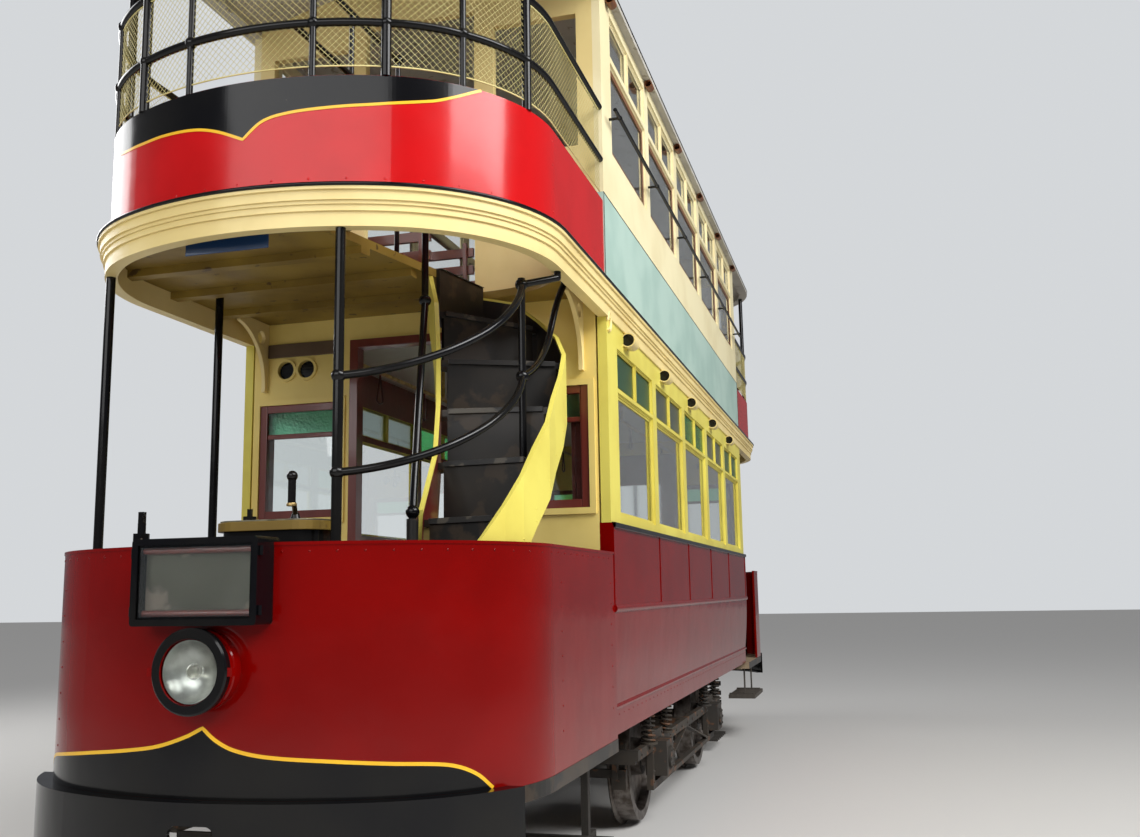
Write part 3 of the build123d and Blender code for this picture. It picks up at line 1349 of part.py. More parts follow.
# Lifeguards below the platforms: a slatted tray, its hangers, and a slatted gate ahead of it
guard_y = axle_y + 950
guard_depth = 520
guard_half_width = 840
guard_slat_count = 6
guard_slat_half = 22
guard_slat_thickness = 24
guard_low_z = 90
guard_runner_x = 720
guard_runner_half = 20
guard_runner_height = 36
hanger_shift = 100
hanger_depth = 50
gate_y = end_y - across(1.05)
gate_slats = (130, 230, 330, 430)
gate_slat_height = 46
gate_half_width = 620
guard_top_z = guard_low_z + guard_slat_thickness
bearer_under_z = platform_under_z - platform_bearer_depth
with BuildPart() as lifeguards:
    for end in (-1, 1):
        for slat in range(guard_slat_count):
            y = end * (guard_y + slat * guard_depth / (guard_slat_count - 1))
            box_at(-guard_half_width, guard_half_width, y - guard_slat_half, y + guard_slat_half, guard_low_z,
                   guard_top_z)
        y_low, y_high = sorted((end * (guard_y - guard_slat_half),
                                end * (guard_y + guard_depth + guard_slat_half)))
        hang_low, hang_high = sorted((end * (guard_y + hanger_shift),
                                      end * (guard_y + hanger_shift + hanger_depth)))
        for side in (-1, 1):
            x = side * guard_runner_x
            box_at(x - guard_runner_half, x + guard_runner_half, y_low, y_high, guard_top_z,
                   guard_top_z + guard_runner_height)
            box_at(x - guard_runner_half, x + guard_runner_half, hang_low, hang_high, guard_top_z,
                   sill_bottom_z)
        for low_z in gate_slats:
            box_at(-gate_half_width, gate_half_width, -end * gate_y - guard_slat_thickness / 2,
                   -end * gate_y + guard_slat_thickness / 2, low_z, low_z + gate_slat_height)
        for side in (-1, 1):
            x = side * platform_bearer_x
            y_low, y_high = sorted((-end * gate_y - end * guard_slat_thickness / 2,
                                    -end * gate_y - end * 3 * guard_slat_thickness / 2))
            box_at(x - guard_runner_half, x + guard_runner_half, y_low, y_high, gate_slats[0], bearer_under_z)
keep("lifeguards", lifeguards.part)

# Entrance step below each platform doorway, hung on bent straps
step_length = 760
step_depth = 260
step_z = 430
step_board = 35
step_overhang = 40
strap_inset = 60
strap_thickness = 12
strap_width = 44
strap_x = -half_width + 60
with BuildPart() as entrance_step:
    step_middle_y = end_y - entrance_width / 2 - 20
    board_x = -half_width - step_overhang
    box_at(board_x, board_x + step_depth, step_middle_y - step_length / 2, step_middle_y + step_length / 2,
           step_z - step_board, step_z)
    for y in (step_middle_y - step_length / 2 + strap_inset,
              step_middle_y + step_length / 2 - strap_inset - strap_width):
        box_at(strap_x, strap_x + strap_thickness, y, y + strap_width, step_z, platform_under_z)
        box_at(board_x + 20, board_x + step_depth, y, y + strap_width, step_z, step_z + strap_thickness)
keep_pair("entrance_steps", entrance_step.part)

# Wheelsets: axle and two flanged wheels as one turned piece
back_x = gauge / 2 - 38
rim_outer_x = back_x + flange_width + tyre_width
flange_radius = tread_radius + flange_depth
hub_radius = 112
hub_inner_x = back_x - 25
hub_outer_x = rim_outer_x + 10
web_root_radius = hub_radius + 6
web_tip_radius = 318
rim_inner_radius = 330
web_inner_x = back_x + 30
web_outer_x = back_x + 66
web_dish = 10
flange_tip = 10
tread_taper = 5
collar_outer_x = 852
journal_end = 6
with BuildPart() as wheelset:
    with BuildSketch(Plane.XY):
        with BuildLine():
            Polyline((0, 0), (0, axle_radius), (hub_inner_x, axle_radius), (hub_inner_x, hub_radius),
                     (web_inner_x, web_root_radius), (web_inner_x + web_dish, web_tip_radius),
                     (back_x, rim_inner_radius), (back_x, flange_radius - flange_tip),
                     (back_x + flange_tip, flange_radius), (back_x + 2 * flange_tip, flange_radius - 2),
                     (back_x + flange_width, tread_radius + 2), (rim_outer_x, tread_radius - tread_taper),
                     (rim_outer_x, rim_inner_radius), (web_outer_x + web_dish, web_tip_radius),
                     (web_outer_x, web_root_radius), (hub_outer_x, hub_radius - 2), (hub_outer_x, axle_radius),
                     (collar_outer_x, axle_radius), (collar_outer_x, journal_radius),
                     (journal_outer_x - journal_end, journal_radius), (journal_outer_x - journal_end, 0),
                     close=True)
        make_face()
    revolve(axis=Axis.X)
    mirror(about=Plane.YZ)
for name, place in (("wheelset_front", -axle_y), ("wheelset_rear", axle_y)):
    keep(name, wheelset.part.moved(Location((0, place, axle_z))))

# Trolley: plank and base on the roof, a swivelling mast with its springs, and a tilting pole
swivel_clearance = 0.5
plank_half_width = 260
plank_half_length = 700
plank_top_z = roof_top_z + 30
mast_height = 190
mast_plate_radius = 110
mast_plate = 60
mast_neck_radius = 60
cheek_inner_x = 32
cheek_outer_x = 48
cheek_half = 40
spring_tube_x = 80
spring_tube_radius = 26
spring_tube_length = 380
spring_tube_z = 95
spring_bar_half = 14
pole_length = 4300
pole_root_radius = 28
pole_tip_radius = 17
pivot_z = plank_top_z + mast_height
pivot_radius = 12
pivot_clearance = 0.1
pivot_boss_radius = 38
pivot_boss_half = 30
pole_tail = 40
with BuildPart() as trolley_base:
    box_at(-plank_half_width, plank_half_width, -plank_half_length, plank_half_length, roof_top_z - wall,
           plank_top_z)
    with BuildSketch(Plane.XZ):
        with BuildLine():
            ThreePointArc((-roof_half, gutter_z), (0, roof_top_z), (roof_half, gutter_z))
            Line((roof_half, gutter_z), (-roof_half, gutter_z))
        make_face()
    extrude(amount=plank_half_length + wall, both=True, mode=Mode.SUBTRACT)
keep("trolley_base", trolley_base.part)

mast_base_z = plank_top_z + swivel_clearance
with BuildPart() as trolley_mast:
    with BuildSketch(Plane.XY.offset(mast_base_z)):
        Circle(mast_plate_radius)
    extrude(amount=mast_plate)
    with BuildSketch(Plane.XY.offset(mast_base_z + mast_plate)):
        Circle(mast_neck_radius)
    extrude(amount=mast_height - mast_plate_radius)
    for side in (-1, 1):
        x_low, x_high = sorted((side * cheek_inner_x, side * cheek_outer_x))
        box_at(x_low, x_high, -cheek_half, cheek_half, pivot_z - mast_plate, pivot_z + 30)
        x = side * spring_tube_x
        tube_between((x, 0, mast_base_z + spring_tube_z), (x, -spring_tube_length, mast_base_z + spring_tube_z),
                     spring_tube_radius)
    for y in (0, -spring_tube_length):
        box_at(-spring_tube_x, spring_tube_x, y - spring_bar_half, y + spring_bar_half,
               mast_base_z + spring_tube_z - spring_bar_half, mast_base_z + spring_tube_z + spring_bar_half)
    tube_between((-cheek_outer_x, 0, pivot_z), (cheek_outer_x, 0, pivot_z), pivot_radius)
keep("trolley_mast", trolley_mast.part)

# The pole tapers to a head with a grooved shoe that slides along the wire
pole_angle = radians(6)
shoe_half_length = 75
shoe_half_width = 22
shoe_height = 46
shoe_groove_radius = 9
head_depth = 30
tail_place = (0, -pole_tail * cos(pole_angle), pivot_z - pole_tail * sin(pole_angle))
tip_place = (0, pole_length * cos(pole_angle), pivot_z + pole_length * sin(pole_angle))
pole_run = Vector(*tip_place) - Vector(*tail_place)
with BuildPart() as trolley_pole:
    with BuildSketch(Plane(origin=tail_place, z_dir=pole_run)):
        Circle(pole_root_radius)
    with BuildSketch(Plane(origin=tip_place, z_dir=pole_run)):
        Circle(pole_tip_radius)
    loft()
    box_at(-shoe_half_width, shoe_half_width, tip_place[1] - shoe_half_length, tip_place[1] + shoe_half_length,
           tip_place[2] - pole_tip_radius, tip_place[2] + shoe_height)
    tube_between((0, tip_place[1] - 2 * shoe_half_length, tip_place[2] + shoe_height),
                 (0, tip_place[1] + 2 * shoe_half_length, tip_place[2] + shoe_height), shoe_groove_radius,
                 mode=Mode.SUBTRACT)
    tube_between((-pivot_boss_half, 0, pivot_z), (pivot_boss_half, 0, pivot_z), pivot_boss_radius)
    tube_between((-pivot_boss_half, 0, pivot_z), (pivot_boss_half, 0, pivot_z), pivot_radius + pivot_clearance,
                 mode=Mode.SUBTRACT)
keep("trolley_pole", trolley_pole.part)

os.makedirs("parts", exist_ok=True)
for name, part in pieces.items():
    part.label = name
    export_step(part, f"parts/{name}.step")
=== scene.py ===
import math

import bmesh
import bpy
from mathutils import Matrix, Vector


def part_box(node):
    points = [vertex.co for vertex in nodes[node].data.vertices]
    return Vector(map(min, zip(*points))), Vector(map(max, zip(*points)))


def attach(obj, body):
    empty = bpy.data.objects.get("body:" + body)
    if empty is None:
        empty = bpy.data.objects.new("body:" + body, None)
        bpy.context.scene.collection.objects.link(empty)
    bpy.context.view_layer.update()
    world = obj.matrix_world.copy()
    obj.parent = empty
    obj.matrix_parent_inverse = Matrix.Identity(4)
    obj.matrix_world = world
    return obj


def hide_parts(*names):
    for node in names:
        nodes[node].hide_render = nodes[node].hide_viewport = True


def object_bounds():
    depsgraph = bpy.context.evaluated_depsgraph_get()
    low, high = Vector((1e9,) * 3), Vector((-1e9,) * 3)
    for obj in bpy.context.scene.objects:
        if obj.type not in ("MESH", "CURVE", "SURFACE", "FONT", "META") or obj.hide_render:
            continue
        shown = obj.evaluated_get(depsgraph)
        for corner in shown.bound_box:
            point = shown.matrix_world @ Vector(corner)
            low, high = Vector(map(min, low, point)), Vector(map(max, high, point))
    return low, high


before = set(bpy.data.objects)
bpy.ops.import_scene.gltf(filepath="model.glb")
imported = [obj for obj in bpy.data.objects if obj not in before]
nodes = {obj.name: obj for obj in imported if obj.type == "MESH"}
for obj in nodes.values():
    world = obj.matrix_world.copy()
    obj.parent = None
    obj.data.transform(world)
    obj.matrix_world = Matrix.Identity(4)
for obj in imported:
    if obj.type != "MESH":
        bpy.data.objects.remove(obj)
cad_low, cad_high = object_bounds()

# The car lies along Y with its front at -Y; both ends are alike, half a turn about Z apart.
# Sizes are in metres. A plan is the half width, the front, the corner radius and the front radius.
HALF_WIDTH = 1.065
END_Y = -2.885
DASH_Y = -4.790
DASH_PLAN = (HALF_WIDTH, DASH_Y, 0.750, 1.600)
CANOPY_PLAN = (HALF_WIDTH, -4.665, 0.800, 1.450)
PLATFORM_Z = 0.745
DASH_TOP_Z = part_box("dash_front")[1].z
PANEL_TOP_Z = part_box("balcony_panel_front")[1].z
PANEL_LOW_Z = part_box("balcony_panel_front")[0].z
PANEL_INSET = 0.015
BUMPER_TOP_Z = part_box("bumpers")[1].z
AXLE_Y = 1.150
BAY_PITCH = 1.085
BAY_PLACES = [(bay - 2) * BAY_PITCH for bay in range(5)]


# Short ways to make objects, node trees and nodes

def add_object(name, data):
    made = bpy.data.objects.new(name, data)
    bpy.context.scene.collection.objects.link(made)
    return made


def feed(tree, node, values):
    """Fill a node's inputs: a socket is linked, any other value is set."""
    for title, value in values.items():
        if isinstance(value, bpy.types.NodeSocket):
            tree.links.new(value, node.inputs[title])
        else:
            node.inputs[title].default_value = value


def add_node(tree, kind, values, **settings):
    """A new node, with its settings made and then its inputs filled."""
    node = tree.nodes.new(kind)
    for setting, value in settings.items():
        setattr(node, setting, value)
    feed(tree, node, values)
    return node


def new_tree(name, kind, inputs, outputs):
    """An empty tree, its input sockets and its output node; sockets are (name, kind, optional default)."""
    tree = bpy.data.node_groups.new(name, kind)
    for in_out, sockets in (("INPUT", inputs), ("OUTPUT", outputs)):
        for title, socket_kind, *default in sockets:
            socket = tree.interface.new_socket(title, in_out=in_out, socket_type="NodeSocket" + socket_kind)
            if default:
                socket.default_value = default[0]
    return tree, tree.nodes.new("NodeGroupInput").outputs, tree.nodes.new("NodeGroupOutput")


# Shader node groups: each is built once and placed in every material that needs it

def object_noise(tree, scale, detail, roughness=0.5, stretch=None):
    """Noise on Object coordinates, squeezed by a stretch where one is given."""
    place = add_node(tree, "ShaderNodeTexCoord", {}).outputs["Object"]
    if stretch is not None:
        squeezed = add_node(tree, "ShaderNodeVectorMath", {0: place, 1: stretch}, operation="MULTIPLY")
        place = squeezed.outputs[0]
    values = {"Vector": place, "Scale": scale, "Detail": detail, "Roughness": roughness}
    return add_node(tree, "ShaderNodeTexNoise", values).outputs["Fac"]


def ramp_between(tree, value, low, high):
    """Takes a value from 0 at low to 1 at high, smoothly."""
    values = {"Value": value, "From Min": low, "From Max": high}
    return add_node(tree, "ShaderNodeMapRange", values, interpolation_type="SMOOTHSTEP").outputs["Result"]


def mix_colours(tree, mask, first, second):
    """The first colour where the mask is 0 and the second where it is 1."""
    values = {"Factor": mask, "A": first, "B": second}
    return add_node(tree, "ShaderNodeMix", values, data_type="RGBA").outputs["Result"]


def build_patches(name, at_low, at_high, detail, low, high):
    """Soft patches of two colours, one where the noise is low and the other where it is high."""
    tree, given, result = new_tree(
        name, "ShaderNodeTree",
        [(at_low, "Color"), (at_high, "Color"), ("Scale", "Float"), ("From", "Float", low),
         ("To", "Float", high)],
        [("Colour", "Color")])
    mask = ramp_between(tree, object_noise(tree, given["Scale"], detail), given["From"], given["To"])
    feed(tree, result, {"Colour": mix_colours(tree, mask, given[at_low], given[at_high])})
    return tree


def build_grime_by_height():
    """Dirt that thickens between two heights."""
    tree, given, result = new_tree(
        "Grime by height", "ShaderNodeTree",
        [("Colour", "Color"), ("Grime", "Color", (0.05, 0.04, 0.03, 1)), ("Clean above", "Float"),
         ("Dirty below", "Float"), ("Amount", "Float")],
        [("Colour", "Color")])
    place = add_node(tree, "ShaderNodeTexCoord", {}).outputs["Object"]
    height = add_node(tree, "ShaderNodeSeparateXYZ", {0: place}).outputs["Z"]
    depth = ramp_between(tree, height, given["Clean above"], given["Dirty below"])
    dirt = add_node(tree, "ShaderNodeMath", {0: depth, 1: given["Amount"]}, operation="MULTIPLY").outputs[0]
    feed(tree, result, {"Colour": mix_colours(tree, dirt, given["Colour"], given["Grime"])})
    return tree


def build_wood_grain():
    """Long streaks along the board; Stretch squeezes the noise across it."""
    tree, given, result = new_tree(
        "Wood grain", "ShaderNodeTree", [("Light", "Color"), ("Dark", "Color"), ("Stretch", "Vector")],
        [("Colour", "Color"), ("Height", "Float")])
    streaks = object_noise(tree, 2.0, 6.0, roughness=0.65, stretch=given["Stretch"])
    mixed = mix_colours(tree, streaks, given["Dark"], given["Light"])
    feed(tree, result, {"Colour": mixed, "Height": streaks})
    return tree


def build_surface_ripple():
    """Slow waviness of hand-beaten sheet or rolled glass, as a normal."""
    tree, given, result = new_tree(
        "Surface ripple", "ShaderNodeTree", [(title, "Float") for title in ("Scale", "Strength", "Depth")],
        [("Normal", "Vector")])
    height = object_noise(tree, given["Scale"], 2.0)
    values = {"Height": height, "Strength": given["Strength"], "Distance": given["Depth"]}
    feed(tree, result, {"Normal": add_node(tree, "ShaderNodeBump", values).outputs["Normal"]})
    return tree


UNEVEN_COLOUR = build_patches("Uneven colour", "Shade", "Colour", 4.0, 0.35, 0.65)
WORN_PATCHES = build_patches("Worn patches", "Colour", "Bare", 8.0, 0.62, 0.70)
GRIME = build_grime_by_height()
WOOD_GRAIN = build_wood_grain()
SURFACE_RIPPLE = build_surface_ripple()


def rgba(colour):
    return (*colour, 1.0)


def start_material(name, roughness, metallic=0.0, coat=0.0, specular=0.5):
    material = bpy.data.materials.new(name)
    material.use_nodes = True
    tree = material.node_tree
    shader = tree.nodes["Principled BSDF"]
    feed(tree, shader, {"Roughness": roughness, "Metallic": metallic, "Specular IOR Level": specular,
                        "Coat Weight": coat, "Coat Roughness": 0.08})
    return material, tree, shader


def place_group(tree, group, values):
    """Put a node group in a material, with its inputs filled, and give its outputs."""
    return add_node(tree, "ShaderNodeGroup", values, node_tree=group).outputs


def rippled(tree, shader, colour, scale, strength, depth):
    """Give the shader its colour and the normal of a ripple."""
    wave = place_group(tree, SURFACE_RIPPLE, {"Scale": scale, "Strength": strength, "Depth": depth})
    feed(tree, shader, {"Base Color": colour, "Normal": wave["Normal"]})


def paint(name, colour, shade, roughness=0.3, coat=0.4, specular=0.3, bare=None, bare_from=0.70,
          patch_scale=14.0, grime=None):
    """Paint on metal or wood: uneven colour, worn patches and grime where asked, and a slow ripple."""
    material, tree, shader = start_material(name, roughness, coat=coat, specular=specular)
    values = {"Colour": rgba(colour), "Shade": rgba(shade), "Scale": 2.3}
    seen = place_group(tree, UNEVEN_COLOUR, values)["Colour"]
    if bare is not None:
        values = {"Colour": seen, "Bare": rgba(bare), "Scale": patch_scale, "From": bare_from,
                  "To": bare_from + 0.05}
        seen = place_group(tree, WORN_PATCHES, values)["Colour"]
    if grime is not None:
        clean_above, dirty_below, amount = grime
        values = {"Colour": seen, "Clean above": clean_above, "Dirty below": dirty_below, "Amount": amount}
        seen = place_group(tree, GRIME, values)["Colour"]
    rippled(tree, shader, seen, 3.5, 0.15, 0.02)
    return material


def wood(name, light, dark, stretch, roughness=0.45, coat=0.0):
    """Boards with grain along the axis whose stretch is smallest."""
    material, tree, shader = start_material(name, roughness, coat=coat)
    grain = place_group(tree, WOOD_GRAIN, {"Light": rgba(light), "Dark": rgba(dark), "Stretch": stretch})
    values = {"Height": grain["Height"], "Strength": 0.2, "Distance": 0.002}
    relief = add_node(tree, "ShaderNodeBump", values)
    feed(tree, shader, {"Base Color": grain["Colour"], "Normal": relief.outputs["Normal"]})
    return material


def bare_metal(name, colour, shade, roughness, metallic=1.0):
    """Uncoated metal with darker and lighter patches."""
    material, tree, shader = start_material(name, roughness, metallic=metallic)
    values = {"Colour": rgba(colour), "Shade": rgba(shade), "Scale": 18.0}
    rippled(tree, shader, place_group(tree, UNEVEN_COLOUR, values)["Colour"], 60.0, 0.3, 0.002)
    return material


def clear_glass(name, colour, roughness, ripple, ripple_scale=3.0):
    """Window glass; rolled glass has a stronger ripple."""
    material, tree, shader = start_material(name, roughness)
    feed(tree, shader, {"Transmission Weight": 1.0, "IOR": 1.45})
    rippled(tree, shader, rgba(colour), ripple_scale, ripple, 0.004)
    return material


# The next two reds are one paint in two tones. The first is as dark as the dash looks in shade, which is
# painted shade, and the sides and headlamps share it. The second, on the balcony panels and their rivets,
# is brighter: painted light from above
COACH_RED = paint("coach_red", (0.185, 0.0010, 0.0005), (0.158, 0.0008, 0.0004), roughness=0.13, coat=0.08,
                  specular=0.2, bare=(0.08, 0.01, 0.01), bare_from=0.77)
LIT_COACH_RED = paint("lit_coach_red", (0.54, 0.0035, 0.005), (0.46, 0.0030, 0.004), roughness=0.20, coat=0.1,
                bare=(0.16, 0.02, 0.02), bare_from=0.78)
CREAM = paint("cream", (0.84, 0.68, 0.31), (0.75, 0.59, 0.25), roughness=0.40, coat=0.05,
              bare=(0.40, 0.28, 0.11), bare_from=0.74)
WARM_CREAM = paint("warm_cream", (0.84, 0.66, 0.21), (0.75, 0.57, 0.16), roughness=0.40, coat=0.05,
                   bare=(0.38, 0.27, 0.09), bare_from=0.74)
PALE_CREAM = paint("pale_cream", (0.88, 0.79, 0.50), (0.80, 0.70, 0.42), roughness=0.40, coat=0.05,
                   bare=(0.42, 0.32, 0.15), bare_from=0.76)
# Cream darkened to how the canopy's underside looks in shade: painted shade under the canopy; its worn
# patches are real wear
SHADE_DARKENED_CREAM = paint("shade_darkened_cream", (0.30, 0.20, 0.035), (0.19, 0.12, 0.022), roughness=0.5, coat=0.05,
                   bare=(0.10, 0.06, 0.02), bare_from=0.64)
PRIMROSE = paint("primrose", (0.76, 0.67, 0.13), (0.66, 0.56, 0.10), roughness=0.38, coat=0.05,
                 bare=(0.45, 0.34, 0.10), bare_from=0.76)
GLOSS_BLACK = paint("gloss_black", (0.003, 0.003, 0.004), (0.007, 0.0065, 0.006), roughness=0.15, coat=0.10,
                    specular=0.2, bare=(0.16, 0.13, 0.10), bare_from=0.74)
WORN_BLACK = paint("worn_black", (0.008, 0.0075, 0.007), (0.022, 0.017, 0.012), roughness=0.42, coat=0.1,
                   bare=(0.035, 0.024, 0.015), bare_from=0.50, patch_scale=5.0)
LINING_YELLOW = paint("lining_yellow", (0.90, 0.52, 0.02), (0.82, 0.45, 0.02), roughness=0.35, coat=0.3)
PANEL_GREEN = paint("panel_green", (0.47, 0.63, 0.55), (0.38, 0.54, 0.47), roughness=0.35, coat=0.1)
CEILING_WHITE = paint("ceiling_white", (0.85, 0.83, 0.76), (0.78, 0.75, 0.66), roughness=0.5, coat=0.1)
ROOF_GREY = paint("roof_grey", (0.50, 0.48, 0.43), (0.40, 0.38, 0.34), roughness=0.75, coat=0.0,
                  bare=(0.30, 0.27, 0.22), bare_from=0.62)
MAROON_PAINT = paint("maroon_paint", (0.10, 0.008, 0.008), (0.06, 0.006, 0.006))
PLATE_BLUE = paint("plate_blue", (0.010, 0.045, 0.13), (0.008, 0.032, 0.09))
PLATE_BROWN = paint("plate_brown", (0.13, 0.085, 0.05), (0.09, 0.06, 0.035), roughness=0.55, coat=0.0)
NET_WIRE = paint("net_wire", (0.74, 0.66, 0.30), (0.55, 0.47, 0.18), roughness=0.5, coat=0.0)
BOARD_GREY = paint("board_grey", (0.105, 0.10, 0.075), (0.070, 0.066, 0.046), roughness=0.6, coat=0.0,
                   bare=(0.20, 0.16, 0.13), bare_from=0.60, patch_scale=4.0)
NOSING_METAL = paint("nosing_metal", (0.030, 0.028, 0.026), (0.018, 0.018, 0.018), roughness=0.32, coat=0.0,
                     bare=(0.085, 0.075, 0.060), bare_from=0.50, patch_scale=9.0)
IRON = paint("iron", (0.028, 0.026, 0.024), (0.05, 0.04, 0.03), roughness=0.6, coat=0.0,
             bare=(0.13, 0.06, 0.03), bare_from=0.58, grime=(0.8, 0.1, 0.5))
ALONG_X, ALONG_Y, ALONG_Z = (1.2, 14.0, 14.0), (14.0, 1.0, 14.0), (14.0, 14.0, 1.2)
SASH_WOOD = wood("sash_wood", (0.23, 0.085, 0.030), (0.11, 0.035, 0.012), (14.0, 1.2, 14.0), 0.4, coat=0.2)
MAROON_WOOD = wood("maroon_wood", (0.20, 0.035, 0.022), (0.10, 0.014, 0.010), ALONG_Z, 0.3, coat=0.4)
SEAT_WOOD = wood("seat_wood", (0.30, 0.07, 0.035), (0.15, 0.025, 0.015), ALONG_X, 0.35, coat=0.3)
FLOOR_WOOD = wood("floor_wood", (0.36, 0.27, 0.17), (0.17, 0.12, 0.075), ALONG_Y, 0.7)
STEP_WOOD = wood("step_wood", (0.085, 0.072, 0.058), (0.035, 0.028, 0.022), ALONG_Y, 0.75)
GUARD_WOOD = wood("guard_wood", (0.040, 0.034, 0.028), (0.014, 0.012, 0.010), ALONG_Y, 0.8)
WHEEL_STEEL = bare_metal("wheel_steel", (0.17, 0.15, 0.135), (0.07, 0.055, 0.045), 0.45, metallic=0.8)
BRASS = bare_metal("brass", (0.72, 0.52, 0.22), (0.48, 0.32, 0.12), 0.35)
AGED_BRASS = bare_metal("aged_brass", (0.27, 0.25, 0.18), (0.11, 0.105, 0.08), 0.5)
BRIGHT_METAL = bare_metal("bright_metal", (0.50, 0.50, 0.47), (0.36, 0.36, 0.33), 0.34)
WINDOW_GLASS = clear_glass("window_glass", (0.93, 0.96, 0.95), 0.02, 0.05)
GREEN_GLASS = clear_glass("green_glass", (0.16, 0.50, 0.30), 0.30, 0.9, ripple_scale=60.0)
GREY_GLASS = clear_glass("grey_glass", (0.42, 0.50, 0.48), 0.32, 0.9, ripple_scale=70.0)
BRIGHT_GREEN_GLASS = clear_glass("bright_green_glass", (0.14, 0.72, 0.24), 0.25, 0.8, ripple_scale=60.0)
BULB_GLASS = clear_glass("bulb_glass", (0.95, 0.93, 0.85), 0.25, 0.1)

# Nodes by material, named without their end or side; every other node is iron
NODES_OF_MATERIALS = (
    (GLOSS_BLACK, ("balcony_rails", "bumpers", "controllers", "guard_rails", "handbrakes",
                   "indicator_boxes", "platform_pillars", "stair_rails")),
    (COACH_RED, ("dash", "headlamps", "side_panel")),
    (CREAM, ("canopy_brackets", "canopy_moulding", "upper_bulkhead", "ventilators")),
    (PRIMROSE, ("stair_strings", "window_frame")),
    (MAROON_WOOD, ("benches", "saloon_door")),
    (FLOOR_WOOD, ("platform_floor", "saloon_floor", "trolley_base")),
    (WINDOW_GLASS, ("front_glass", "lower_glass", "upper_glass")),
    (LIT_COACH_RED, ("balcony_panel",)), (WARM_CREAM, ("lower_bulkhead",)), (SHADE_DARKENED_CREAM, ("canopy_floor",)),
    (PALE_CREAM, ("upper_frame",)), (PANEL_GREEN, ("upper_panels",)), (CEILING_WHITE, ("upper_floor",)),
    (ROOF_GREY, ("roof",)), (SEAT_WOOD, ("upper_seats",)), (STEP_WOOD, ("entrance_steps",)),
    (GUARD_WOOD, ("lifeguards",)), (WORN_BLACK, ("stair_treads",)), (WHEEL_STEEL, ("wheelset",)),
)
NODE_MATERIALS = {node_name: material for material, names in NODES_OF_MATERIALS for node_name in names}

for node_name, node in nodes.items():
    plain_name, _, last_word = node_name.rpartition("_")
    if last_word not in ("front", "rear", "left", "right"):
        plain_name = node_name
    material = NODE_MATERIALS.get(plain_name, IRON)
    if not node.material_slots:
        node.data.materials.append(material)
    for slot in node.material_slots:
        slot.material = material


